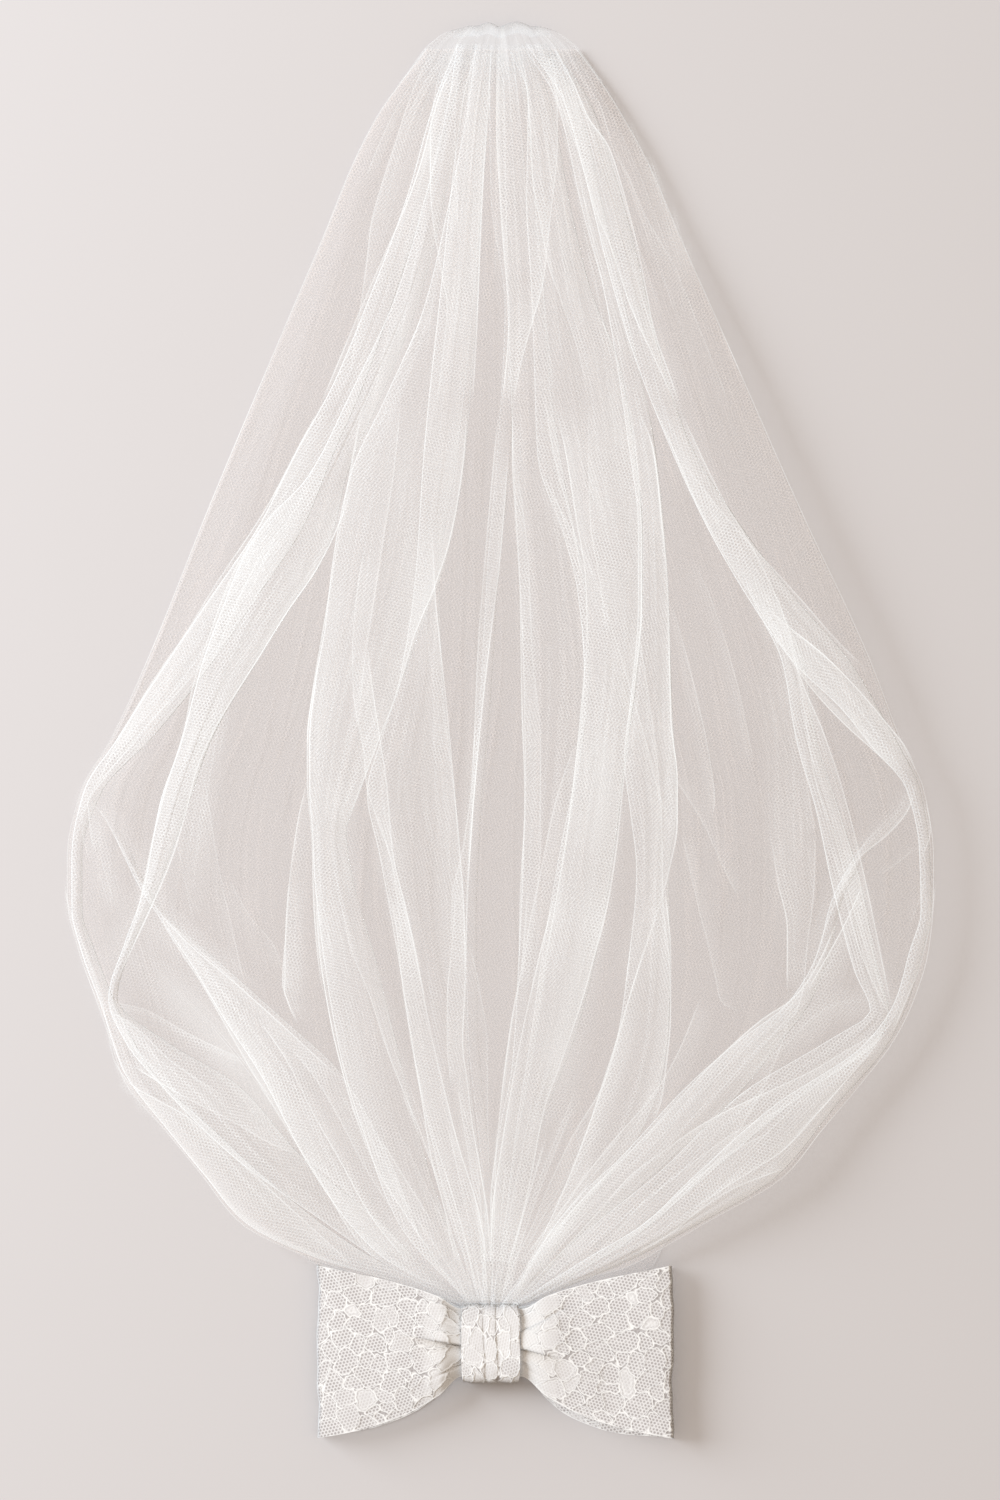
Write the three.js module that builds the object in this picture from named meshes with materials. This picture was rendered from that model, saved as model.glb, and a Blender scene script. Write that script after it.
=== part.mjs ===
// A bridal veil laid out flat: soft tulle gathered at a rolled header and again at a lace bow.
// Units are millimetres. X runs across the veil, Y from the bow up to the header, Z up off the surface.
// Places along the veil are given as a drop: the distance below the top of the header.
import * as THREE from "three";

// Overall sizes
const LENGTH = 922; // top of the header to the lowest edge of the bow
const TOP_Y = LENGTH / 2; // the origin is midway along, on the surface
const SEAM = 0.3; // clearance between neighbouring pieces
const LONGEST_SECTION_STEP = 65; // sections along the tulle are never further apart

// Walls: the tulle is modelled as a thin wall, and a fold is tulle lying double
const PANEL_WALL = 1.2;
const FRONT_WALL = 1.0;
const FOLD_WALL = 1.2;
const HEADER_WALL = 1.2;
const LACE_WALL = 1.2;

// Loft: the front of the tulle springs up off the back panel between its two gathers
const LOFT_HEIGHT = 16;
const LOFT_START = 25;
const LOFT_END = 800;
const LOFT_POWER = 0.8;
const LOFT_EDGE_DROOP = 0.35; // share of the loft lost at the two side edges

// Folds: a crowned stretch of doubled tulle with fine pleats along it
const FOLD_CROWN = 1.4;
const FOLD_CROWN_SHARE = 0.05; // upper folds crown by this share of their width as well
const PLEAT_HEIGHT = 0.6;
const COLUMNS_PER_PLEAT = 4;
const LEVEL_CLEARANCE = 0.55;

// Header: the gathered top edge, rolled over to the front
const HEADER_RADIUS = 7.1;
const HEADER_BACK_LEG = 2.5;
const HEADER_DROP = 24;
const HEADER_TOP_WIDTH = 64;
const HEADER_HEM_WIDTH = 112;
const HEADER_FLARE_POWER = 0.8; // below 1 widens the front leg early, into round shoulders
const HEADER_CENTRE_X = 1;
const HEADER_ARCH = 4; // the roll drops by this much towards its two ends
const HEADER_GATHERS = 11;
const HEADER_GATHER_HEIGHT = 1.8;
const COLUMNS_PER_GATHER = 3;

// Bow: two loops of lace drawn through a pleated knot
const BOW_X = -6;
const BOW_DROP = 857;
const BOW_Y = TOP_Y - BOW_DROP;
const KNOT_HALF_WIDTH = 19;
const KNOT_HALF_HEIGHT = 25;
const KNOT_DEPTH = 20;
const KNOT_SIDE_DEPTH = 8; // the straight part of the knot's sides
const KNOT_PLEATS = 3;
const KNOT_PLEAT_HEIGHT = 1;
const KNOT_ROUNDNESS = 0.65; // below 1 squares the arch of the knot's front
const LOOP_REACH = { left: 110, right: 115 };
const LOOP_BACK_Z = PANEL_WALL + SEAM; // the loops lie on the tulle, clear of it
const LOOP_BACK_SHIFT = 5; // the back of each loop shows below its front
const LOOP_EDGE_FALL = 4;
const LOOP_VALLEY_DEPTH = 6.5;
const LOOP_VALLEY_REACH = 62;
const LOOP_COLUMNS = 8;

const TULLE_END = BOW_DROP - KNOT_HALF_HEIGHT - KNOT_PLEAT_HEIGHT - SEAM; // caught at the knot

const tulleFinish = new THREE.MeshStandardMaterial({ color: 0xf3f0ee, roughness: 0.7, metalness: 0 });
const laceFinish = new THREE.MeshStandardMaterial({ color: 0xf0ece7, roughness: 0.8, metalness: 0 });

// A table is a heading of column names and a row of numbers for each section.
function table(heading, rows) {
  const names = heading.split(" ");
  return rows.map((row) => Object.fromEntries(names.map((name, i) => [name, row[i]])));
}

// Side edges of the tulle as it lies, from the header to the bow.
const OUTLINE = table("drop left right", [
  [16, -48, 50],
  [24, -54, 56],
  [44, -69, 70],
  [57, -78, 78],
  [90, -95, 96],
  [137, -114, 116],
  [194, -138, 141],
  [311, -187, 192],
  [413, -228, 239],
  [465, -252, 259],
  [498, -271, 274],
  [540, -280, 280],
  [567, -280, 280],
  [600, -273, 277],
  [634, -261, 267],
  [660, -252, 254],
  [686, -243, 234],
  [718, -216, 207],
  [746, -193, 184],
  [777, -168, 132],
  [792, -142, 107],
]);

// The back panel runs on under the bow, and the front stops at the bow's upper edges.
const BACK_END = table("drop left right", [
  [806, -119, 100],
  [818, -100, 78],
  [829, -60, 45],
]);
const FRONT_END = table("drop left right", [
  [806, -106, 82],
  [815, -78, 48],
  [822, -53, 29],
  [829, -32, 17],
]);

// The folds that show, left to right. Level 1 lies on the front of the tulle and level 2 on level 1.
const FOLDS = [
  {
    name: "tulle_fold_left_outer",
    level: 1,
    pleats: 2,
    rows: table("drop left right", [
      [14, -28, -16],
      [49, -42, -29],
      [112, -60, -47],
      [177, -84, -68],
      [235, -108, -88],
      [281, -133, -108],
      [325, -155, -126],
      [377, -190, -160],
      [426, -223, -194],
      [465, -248, -226],
      [498, -269, -257],
      [540, -277, -270],
      [575, -277, -270],
      [601, -271, -262],
      [634, -259, -249],
      [678, -244, -226],
      [718, -214, -184],
      [746, -191, -154],
      [777, -164, -116],
      [800, -118, -82],
      [815, -68, -52],
      [TULLE_END, -24, -18.3],
    ]),
  },
  {
    name: "tulle_fold_left",
    level: 2,
    pleats: 3,
    rows: table("drop left right", [
      [14, -28, -17],
      [49, -33, -22],
      [112, -48, -35],
      [177, -67, -51],
      [244, -98, -77],
      [295, -124, -99],
      [325, -152, -106],
      [352, -168, -116],
      [377, -178, -133],
      [415, -192, -157],
      [467, -206, -187],
      [504, -219, -200],
      [564, -231, -222],
      [595, -242, -236],
      [632, -253, -247],
      [660, -242, -215],
      [688, -219, -169],
      [734, -172, -128],
      [777, -112, -76],
      [802, -76, -52],
      [TULLE_END, -24, -18.6],
    ]),
  },
  {
    name: "tulle_fold_left_diagonal",
    level: 1,
    pleats: 2,
    rows: table("drop left right", [
      [512, -256, -251],
      [562, -232, -226],
      [580, -220, -213],
      [608, -201, -182],
      [643, -180, -143],
      [683, -154, -101],
      [741, -123, -69],
      [796, -80, -46],
      [TULLE_END, -17.7, -12.4],
    ]),
  },
  {
    name: "tulle_fold_centre_left",
    level: 2,
    pleats: 3,
    rows: table("drop left right", [
      [14, -16, -7],
      [49, -20, -10],
      [117, -33, -12],
      [185, -49, -15],
      [244, -74, -19],
      [295, -97, -24],
      [350, -108, -35],
      [393, -113, -51],
      [426, -119, -63],
      [465, -123, -78],
      [497, -123, -90],
      [525, -121, -99],
      [549, -120, -96],
      [604, -114, -81],
      [669, -103, -65],
      [725, -86, -51],
      [776, -66, -35],
      [TULLE_END, -18, -12.5],
    ]),
  },
  {
    name: "tulle_fold_centre_left_inner",
    level: 1,
    pleats: 2,
    rows: table("drop left right", [
      [14, -15, -2],
      [49, -24, -6],
      [179, -39, -17],
      [276, -49, -27],
      [363, -55, -39],
      [426, -65, -37],
      [465, -77, -33],
      [499, -86, -29],
      [534, -79, -26],
      [576, -71, -23],
      [623, -63, -22],
      [678, -54, -20],
      [720, -45, -15],
      [771, -33, -9],
      [TULLE_END, -11.8, -6.4],
    ]),
  },
  {
    name: "tulle_fold_centre",
    level: 2,
    pleats: 1,
    rows: table("drop left right", [
      [14, -6, 3],
      [49, -7, 1],
      [114, -6, 3],
      [185, 3, 10],
      [281, -2, 7],
      [350, -8, 0],
      [440, -13, -6],
      [511, -19, -12],
      [586, -22, -15],
      [651, -21, -14],
      [720, -14, -8],
      [766, -10, -4],
      [TULLE_END, -11.9, -6.4],
    ]),
  },
  {
    name: "tulle_fold_centre_right",
    level: 1,
    pleats: 2,
    rows: table("drop left right", [
      [14, -1, 12],
      [49, -1, 18],
      [80, -1, 20],
      [170, 4, 28],
      [240, 7, 33],
      [295, 9, 41],
      [333, 11, 49],
      [368, 13, 55],
      [418, 15, 58],
      [476, 16, 52],
      [534, 15, 42],
      [604, 12, 31],
      [673, 8, 21],
      [720, -1, 12],
      [764, -6, 6],
      [TULLE_END, -5.8, -0.4],
    ]),
  },
  {
    name: "tulle_fold_right_inner",
    level: 2,
    pleats: 3,
    rows: table("drop left right", [
      [14, 4, 15],
      [49, 18, 32],
      [117, 17, 45],
      [172, 20, 58],
      [226, 22, 78],
      [281, 24, 87],
      [333, 41, 92],
      [370, 50, 92],
      [418, 54, 89],
      [476, 50, 81],
      [534, 39, 74],
      [604, 27, 62],
      [655, 20, 49],
      [711, 11, 28],
      [790, 1, 11],
      [TULLE_END, -5.8, -0.5],
    ]),
  },
  {
    name: "tulle_fold_right_middle",
    level: 1,
    pleats: 2,
    rows: table("drop left right", [
      [14, 14, 27],
      [49, 36, 50],
      [117, 52, 66],
      [179, 68, 80],
      [226, 76, 90],
      [268, 82, 99],
      [328, 89, 106],
      [377, 89, 109],
      [440, 84, 111],
      [476, 80, 113],
      [511, 84, 114],
      [550, 88, 109],
      [615, 82, 110],
      [651, 77, 109],
      [681, 68, 105],
      [720, 55, 90],
      [762, 38, 58],
      [800, 20, 32],
      [TULLE_END, 0.2, 5.6],
    ]),
  },
  {
    name: "tulle_fold_right",
    level: 2,
    pleats: 2,
    rows: table("drop left right", [
      [14, 17, 30],
      [49, 40, 57],
      [101, 55, 75],
      [158, 69, 90],
      [207, 83, 101],
      [270, 107, 121],
      [325, 132, 154],
      [377, 162, 193],
      [415, 189, 226],
      [445, 220, 244],
      [470, 240, 258],
      [497, 262, 271],
      [536, 270, 277],
      [576, 271, 278],
      [600, 264, 273],
      [632, 255, 264],
      [660, 236, 251],
      [701, 176, 216],
      [746, 125, 178],
      [777, 92, 127],
      [800, 55, 85],
      [TULLE_END, 6.2, 11.9],
    ]),
  },
  {
    name: "tulle_fold_right_broad",
    level: 1,
    pleats: 2,
    rows: table("drop left right", [
      [348, 153, 158],
      [377, 164, 179],
      [415, 182, 196],
      [465, 191, 204],
      [511, 204, 219],
      [558, 214, 233],
      [615, 229, 244],
      [640, 239, 251],
      [657, 215, 246],
      [694, 155, 195],
      [743, 104, 137],
      [790, 46, 81],
      [TULLE_END, 6.2, 11.8],
    ]),
  },
  {
    name: "tulle_fold_right_diagonal",
    level: 2,
    pleats: 2,
    rows: table("drop left right", [
      [510, 252, 258],
      [541, 228, 235],
      [570, 213, 220],
      [601, 205, 213],
      [634, 186, 200],
      [662, 150, 179],
      [692, 117, 155],
      [736, 76, 109],
      [760, 50, 82],
      [790, 27, 46],
      [815, 12, 24],
      [TULLE_END, 0.2, 5.6],
    ]),
  },
];

// One loop of the bow, from the middle of the knot outwards. Height is that of its front.
const LOOP = table("reach top bottom height", [
  [1, 21, -21, 11],
  [19, 21, -21, 13],
  [34, 30, -33, 17],
  [57, 38, -46, 18],
  [84, 45, -55, 15],
  [112, 51, -60.6, 9],
]);
const LOOP_FRONT_REACHES = [1, 10, 19, 27, 36, 48, 62, 78, 94];
const LOOP_BACK_REACHES = [80, 50, 30, 19, 1];
const LOOP_TURN_STEPS = 4;

// Slopes at the rows of a table that keep a smooth curve from swinging past them.
function slopesOf(rows, across, along) {
  const rise = (row, i) => row[across] - rows[i][across];
  const run = (row, i) => row[along] - rows[i][along];
  const chord = rows.slice(1).map((row, i) => rise(row, i) / run(row, i));
  return rows.map((row, i) => {
    const before = chord[Math.max(i - 1, 0)];
    const after = chord[Math.min(i, chord.length - 1)];
    return before * after > 0 ? (2 * before * after) / (before + after) : 0;
  });
}

// A smooth function through one column of a table, read at any place along another.
function curveThrough(rows, across, along = "drop") {
  const slopes = slopesOf(rows, across, along);
  return (place) => {
    const at = THREE.MathUtils.clamp(place, rows[0][along], rows.at(-1)[along]);
    const i = Math.min(
      rows.findIndex((row, k) => k + 1 === rows.length || at <= rows[k + 1][along]),
      rows.length - 2,
    );
    const span = rows[i + 1][along] - rows[i][along];
    const t = (at - rows[i][along]) / span;
    const rise = t * t * (3 - 2 * t);
    const leave = t * (1 - t) * (1 - t) * span * slopes[i];
    const arrive = t * t * (t - 1) * span * slopes[i + 1];
    return rows[i][across] + (rows[i + 1][across] - rows[i][across]) * rise + leave + arrive;
  };
}

// The places of a table's rows, with more between rows that are far apart.
function sectionsAlong(rows) {
  const drops = [rows[0].drop];
  rows.slice(1).forEach((row, i) => {
    const from = rows[i].drop;
    const steps = Math.ceil((row.drop - from) / LONGEST_SECTION_STEP);
    for (let k = 1; k <= steps; k += 1) drops.push(from + ((row.drop - from) * k) / steps);
  });
  return drops;
}

// A closed wall between two grids of points, [row][column]. The upper grid faces rows-cross-columns.
// A wall whose rows wrap round is a ring.
function wallBetween(lower, upper, rowsWrap = false) {
  const rows = upper.length;
  const columns = upper[0].length;
  const position = [...upper.flat(), ...lower.flat()].flatMap((point) => point.toArray());
  const index = [];
  const top = (i, j) => (i % rows) * columns + j;
  const under = (i, j) => rows * columns + top(i, j);
  const quad = (a, b, c, d) => index.push(a, b, c, a, c, d);
  const lastRow = rowsWrap ? rows : rows - 1;
  for (let i = 0; i < lastRow; i += 1) {
    for (let j = 0; j < columns - 1; j += 1) {
      quad(top(i, j), top(i + 1, j), top(i + 1, j + 1), top(i, j + 1));
      quad(under(i, j), under(i, j + 1), under(i + 1, j + 1), under(i + 1, j));
    }
    const end = columns - 1;
    quad(top(i + 1, 0), top(i, 0), under(i, 0), under(i + 1, 0));
    quad(top(i, end), top(i + 1, end), under(i + 1, end), under(i, end));
  }
  for (let j = 0; j < columns - 1 && !rowsWrap; j += 1) {
    quad(top(0, j), top(0, j + 1), under(0, j + 1), under(0, j));
    quad(top(rows - 1, j + 1), top(rows - 1, j), under(rows - 1, j), under(rows - 1, j + 1));
  }
  const geometry = new THREE.BufferGeometry();
  geometry.setAttribute("position", new THREE.Float32BufferAttribute(position, 3));
  geometry.setIndex(index);
  geometry.computeVertexNormals();
  return geometry;
}

const outlineLeft = curveThrough(OUTLINE, "left");
const outlineRight = curveThrough(OUTLINE, "right");

// How far the front of the tulle stands off the back panel.
function loftAt(x, drop) {
  const share = THREE.MathUtils.clamp((drop - LOFT_START) / (LOFT_END - LOFT_START), 0, 1);
  const left = outlineLeft(drop);
  const right = outlineRight(drop);
  const fan = THREE.MathUtils.clamp((2 * x - left - right) / (right - left), -1, 1);
  return LOFT_HEIGHT * Math.sin(Math.PI * share) ** LOFT_POWER * (1 - LOFT_EDGE_DROOP * fan * fan);
}

// A stretch of tulle between two side edges. heightAt gives its underside at a share of the width.
function tulleStretch(rows, columns, thickness, heightAt) {
  const left = curveThrough(rows, "left");
  const right = curveThrough(rows, "right");
  const grid = (rise) =>
    sectionsAlong(rows).map((drop) =>
      Array.from({ length: columns + 1 }, (_, j) => {
        const share = j / columns;
        const x = THREE.MathUtils.lerp(left(drop), right(drop), share);
        const z = heightAt(x, drop, share, right(drop) - left(drop));
        return new THREE.Vector3(x, TOP_Y - drop, z + rise);
      }),
    );
  return wallBetween(grid(0), grid(thickness));
}

function backPanel() {
  return tulleStretch([...OUTLINE, ...BACK_END], 1, PANEL_WALL, () => 0);
}

const FRONT_Z = PANEL_WALL + SEAM;
const FRONT_COLUMNS = 12;

function frontPanel() {
  const height = (x, drop) => FRONT_Z + loftAt(x, drop);
  return tulleStretch([...OUTLINE, ...FRONT_END], FRONT_COLUMNS, FRONT_WALL, height);
}

const LEVEL_1_Z = FRONT_Z + FRONT_WALL + LEVEL_CLEARANCE;
const LEVEL_2_Z = LEVEL_1_Z + FOLD_WALL + FOLD_CROWN + PLEAT_HEIGHT + LEVEL_CLEARANCE;

function foldStretch({ level, pleats, rows }) {
  const bed = level === 1 ? LEVEL_1_Z : LEVEL_2_Z;
  const crownShare = level === 1 ? 0 : FOLD_CROWN_SHARE;
  const height = (x, drop, share, width) => {
    const crown = (FOLD_CROWN + crownShare * width) * Math.sin(Math.PI * share);
    const pleat = (PLEAT_HEIGHT * (1 - Math.cos(2 * Math.PI * pleats * share))) / 2;
    return bed + loftAt(x, drop) + crown + pleat;
  };
  return tulleStretch(rows, pleats * COLUMNS_PER_PLEAT, FOLD_WALL, height);
}

// The header's section in Y and Z: a short leg on the surface, a half round and a longer front leg.
function headerPath() {
  const turnY = TOP_Y - HEADER_RADIUS;
  const path = [{ y: turnY - HEADER_BACK_LEG, z: 0, outY: 0, outZ: -1, gather: 0 }];
  const turns = 6;
  for (let k = 0; k <= turns; k += 1) {
    const angle = -Math.PI / 2 + (Math.PI * k) / turns;
    path.push({
      y: turnY + HEADER_RADIUS * Math.cos(angle),
      z: HEADER_RADIUS * (1 + Math.sin(angle)),
      outY: Math.cos(angle),
      outZ: Math.sin(angle),
      gather: THREE.MathUtils.smoothstep(k / turns, 0.2, 0.9),
    });
  }
  path.push({ y: TOP_Y - HEADER_DROP, z: 2 * HEADER_RADIUS, outY: 0, outZ: 1, gather: 1 });
  return path;
}

function headerRoll() {
  const columns = HEADER_GATHERS * COLUMNS_PER_GATHER;
  const grid = (inset) =>
    headerPath().map(({ y, z, outY, outZ, gather }) =>
      Array.from({ length: columns + 1 }, (_, j) => {
        const share = j / columns;
        const across = 2 * share - 1;
        const flare = gather * THREE.MathUtils.clamp((TOP_Y - y) / HEADER_DROP, 0, 1) ** HEADER_FLARE_POWER;
        const width = THREE.MathUtils.lerp(HEADER_TOP_WIDTH, HEADER_HEM_WIDTH, flare);
        const gatherWave = 1 - Math.cos(2 * Math.PI * HEADER_GATHERS * share);
        const gatherDepth = (HEADER_GATHER_HEIGHT * gatherWave) / 2;
        const out = -gather * gatherDepth - inset;
        return new THREE.Vector3(
          HEADER_CENTRE_X + (width * across) / 2,
          y - HEADER_ARCH * across * across + outY * out,
          z + outZ * out,
        );
      }),
    );
  return wallBetween(grid(HEADER_WALL), grid(0));
}

const loopTop = curveThrough(LOOP, "top", "reach");
const loopBottom = curveThrough(LOOP, "bottom", "reach");
const loopHeight = curveThrough(LOOP, "height", "reach");

// The section of a loop at one share of its width: out along the front, round the end and back.
function loopPath(share, end) {
  const stretch = end / LOOP.at(-1).reach;
  const endRadius = (LOOP.at(-1).height - LOOP_BACK_Z) / 2;
  const turnReach = end - endRadius;
  const across = 2 * share - 1;
  const frontZ = (reach) => {
    const settle = THREE.MathUtils.smoothstep(turnReach - reach, 0, turnReach / 2);
    const fade = 1 - THREE.MathUtils.smoothstep(reach, KNOT_HALF_WIDTH, LOOP_VALLEY_REACH);
    const valley = LOOP_VALLEY_DEPTH * fade * Math.cos((Math.PI * across) / 2) ** 4;
    const fall = LOOP_EDGE_FALL * settle * across * across;
    return loopHeight((reach / turnReach) * LOOP.at(-1).reach) - valley - fall;
  };
  const tableReach = (reach) => Math.min(reach / stretch, LOOP.at(-1).reach);
  const point = (reach, z, back) => ({ reach, z, back, table: tableReach(reach) });
  const path = LOOP_FRONT_REACHES.map((reach) => point(reach, frontZ(reach), 0));
  for (let k = 0; k <= LOOP_TURN_STEPS; k += 1) {
    const angle = Math.PI / 2 - (Math.PI * k) / LOOP_TURN_STEPS;
    const reach = turnReach + endRadius * Math.cos(angle);
    path.push(point(reach, LOOP_BACK_Z + endRadius * (1 + Math.sin(angle)), k / LOOP_TURN_STEPS));
  }
  LOOP_BACK_REACHES.forEach((reach) => path.push(point(reach, LOOP_BACK_Z, 1)));
  return path;
}

// Moves a path's points in by the wall, square to the path.
function insetPath(path, wall) {
  return path.map((here, i) => {
    const before = path[Math.max(i - 1, 0)];
    const after = path[Math.min(i + 1, path.length - 1)];
    const along = Math.hypot(after.reach - before.reach, after.z - before.z);
    const outReach = -(after.z - before.z) / along;
    const outZ = (after.reach - before.reach) / along;
    return { ...here, reach: here.reach - wall * outReach, z: here.z - wall * outZ };
  });
}

function bowLoop(side) {
  const sign = side === "left" ? -1 : 1;
  const shares = Array.from({ length: LOOP_COLUMNS + 1 }, (_, j) => j / LOOP_COLUMNS);
  if (sign < 0) shares.reverse();
  const gridOf = (wall) => {
    const sections = shares.map((share) => insetPath(loopPath(share, LOOP_REACH[side]), wall));
    return sections[0].map((_, i) =>
      sections.map((section, j) => {
        const { reach, z, back, table: tableReach } = section[i];
        const clear = THREE.MathUtils.smoothstep(tableReach, KNOT_HALF_WIDTH, LOOP_VALLEY_REACH);
        const shift = LOOP_BACK_SHIFT * back * clear;
        const y = THREE.MathUtils.lerp(loopBottom(tableReach), loopTop(tableReach), shares[j]) - shift;
        return new THREE.Vector3(BOW_X + sign * reach, BOW_Y + y, z);
      }),
    );
  };
  return wallBetween(gridOf(LACE_WALL), gridOf(0));
}

// The knot's section in Y and Z: flat where it lies, straight sides and a round front.
function knotSection(inset) {
  const half = KNOT_HALF_HEIGHT - inset;
  const archHeight = KNOT_DEPTH - KNOT_SIDE_DEPTH - inset;
  const archSteps = 12;
  const floorSteps = 6;
  const squared = (value) => Math.sign(value) * Math.abs(value) ** KNOT_ROUNDNESS;
  const section = [];
  for (let k = 0; k <= archSteps; k += 1) {
    const angle = (Math.PI * k) / archSteps;
    const outY = Math.cos(angle);
    const outZ = Math.sin(angle);
    section.push({ y: half * squared(outY), z: KNOT_SIDE_DEPTH + archHeight * squared(outZ), outY, outZ });
  }
  for (let k = 0; k <= floorSteps; k += 1) {
    section.push({ y: -half + (2 * half * k) / floorSteps, z: inset, outY: 0, outZ: 0 });
  }
  return section;
}

function bowKnot() {
  const columns = KNOT_PLEATS * COLUMNS_PER_PLEAT;
  const grid = (inset, pleatHeight) =>
    knotSection(inset).map(({ y, z, outY, outZ }) =>
      Array.from({ length: columns + 1 }, (_, j) => {
        const share = j / columns;
        const pleat = (pleatHeight * (1 - Math.cos(2 * Math.PI * KNOT_PLEATS * share))) / 2;
        const x = BOW_X + KNOT_HALF_WIDTH * (2 * share - 1);
        return new THREE.Vector3(x, BOW_Y + y + outY * pleat, z + outZ * pleat);
      }),
    );
  return wallBetween(grid(LACE_WALL, 0), grid(0, KNOT_PLEAT_HEIGHT), true);
}

function piece(name, geometry, finish) {
  const mesh = new THREE.Mesh(geometry, finish);
  mesh.name = name;
  return mesh;
}

const tulle = new THREE.Group();
tulle.add(piece("tulle_back", backPanel(), tulleFinish));
tulle.add(piece("tulle_front", frontPanel(), tulleFinish));
FOLDS.forEach((fold) => tulle.add(piece(fold.name, foldStretch(fold), tulleFinish)));
tulle.add(piece("tulle_header", headerRoll(), tulleFinish));

const bow = new THREE.Group();
bow.add(piece("bow_loop_left", bowLoop("left"), laceFinish));
bow.add(piece("bow_loop_right", bowLoop("right"), laceFinish));
bow.add(piece("bow_knot", bowKnot(), laceFinish));

const veil = new THREE.Group();
veil.add(tulle, bow);

export default veil;
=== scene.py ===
# %% [markdown]
# # A bridal veil, laid flat
#
# The veil is one panel of soft tulle, gathered at a rolled header and again at a lace bow.
# Tulle is a net, so it is built here as thin open sheets that let the surface show through.
# Wherever the panel folds over itself, another pair of sheets lies on top and the white builds up.

import math

import bpy
import numpy as np
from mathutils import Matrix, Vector


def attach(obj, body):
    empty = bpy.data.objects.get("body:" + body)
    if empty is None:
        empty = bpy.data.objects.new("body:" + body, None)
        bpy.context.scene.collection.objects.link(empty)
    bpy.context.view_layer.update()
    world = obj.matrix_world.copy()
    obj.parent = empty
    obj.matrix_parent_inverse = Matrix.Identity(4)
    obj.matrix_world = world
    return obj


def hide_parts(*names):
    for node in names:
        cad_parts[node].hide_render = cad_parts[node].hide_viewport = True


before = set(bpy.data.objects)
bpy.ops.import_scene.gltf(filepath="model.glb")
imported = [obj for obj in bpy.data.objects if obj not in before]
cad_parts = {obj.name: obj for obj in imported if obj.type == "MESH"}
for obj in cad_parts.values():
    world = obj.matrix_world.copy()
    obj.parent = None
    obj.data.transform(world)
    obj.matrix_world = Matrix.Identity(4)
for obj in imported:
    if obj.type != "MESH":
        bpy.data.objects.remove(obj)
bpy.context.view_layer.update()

# %% [markdown]
# ## Sizes
#
# Everything is worked out in millimetres and turned into metres only when a mesh is made.
# A place along the veil is its drop below the top of the header.

# %% Sizes
MM = 0.001
TOP_Y = 461.0
TULLE_END = 830.7
LEVEL_Z = {1: 3.05, 2: 6.8}  # the heights at which the lower and the upper folds lie
BOW_X = -6.0
BOW_Y = TOP_Y - 855.7
print(f"The tulle ends {TULLE_END} mm below the header; the bow is at x {BOW_X:.1f}, y {BOW_Y:.1f} mm")

# %% [markdown]
# ## Measured tables
#
# The outline and the folds are the ones that the solids were made from: drop, left edge, right edge.
# The loop of the bow has reach, top, bottom and height.

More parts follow.
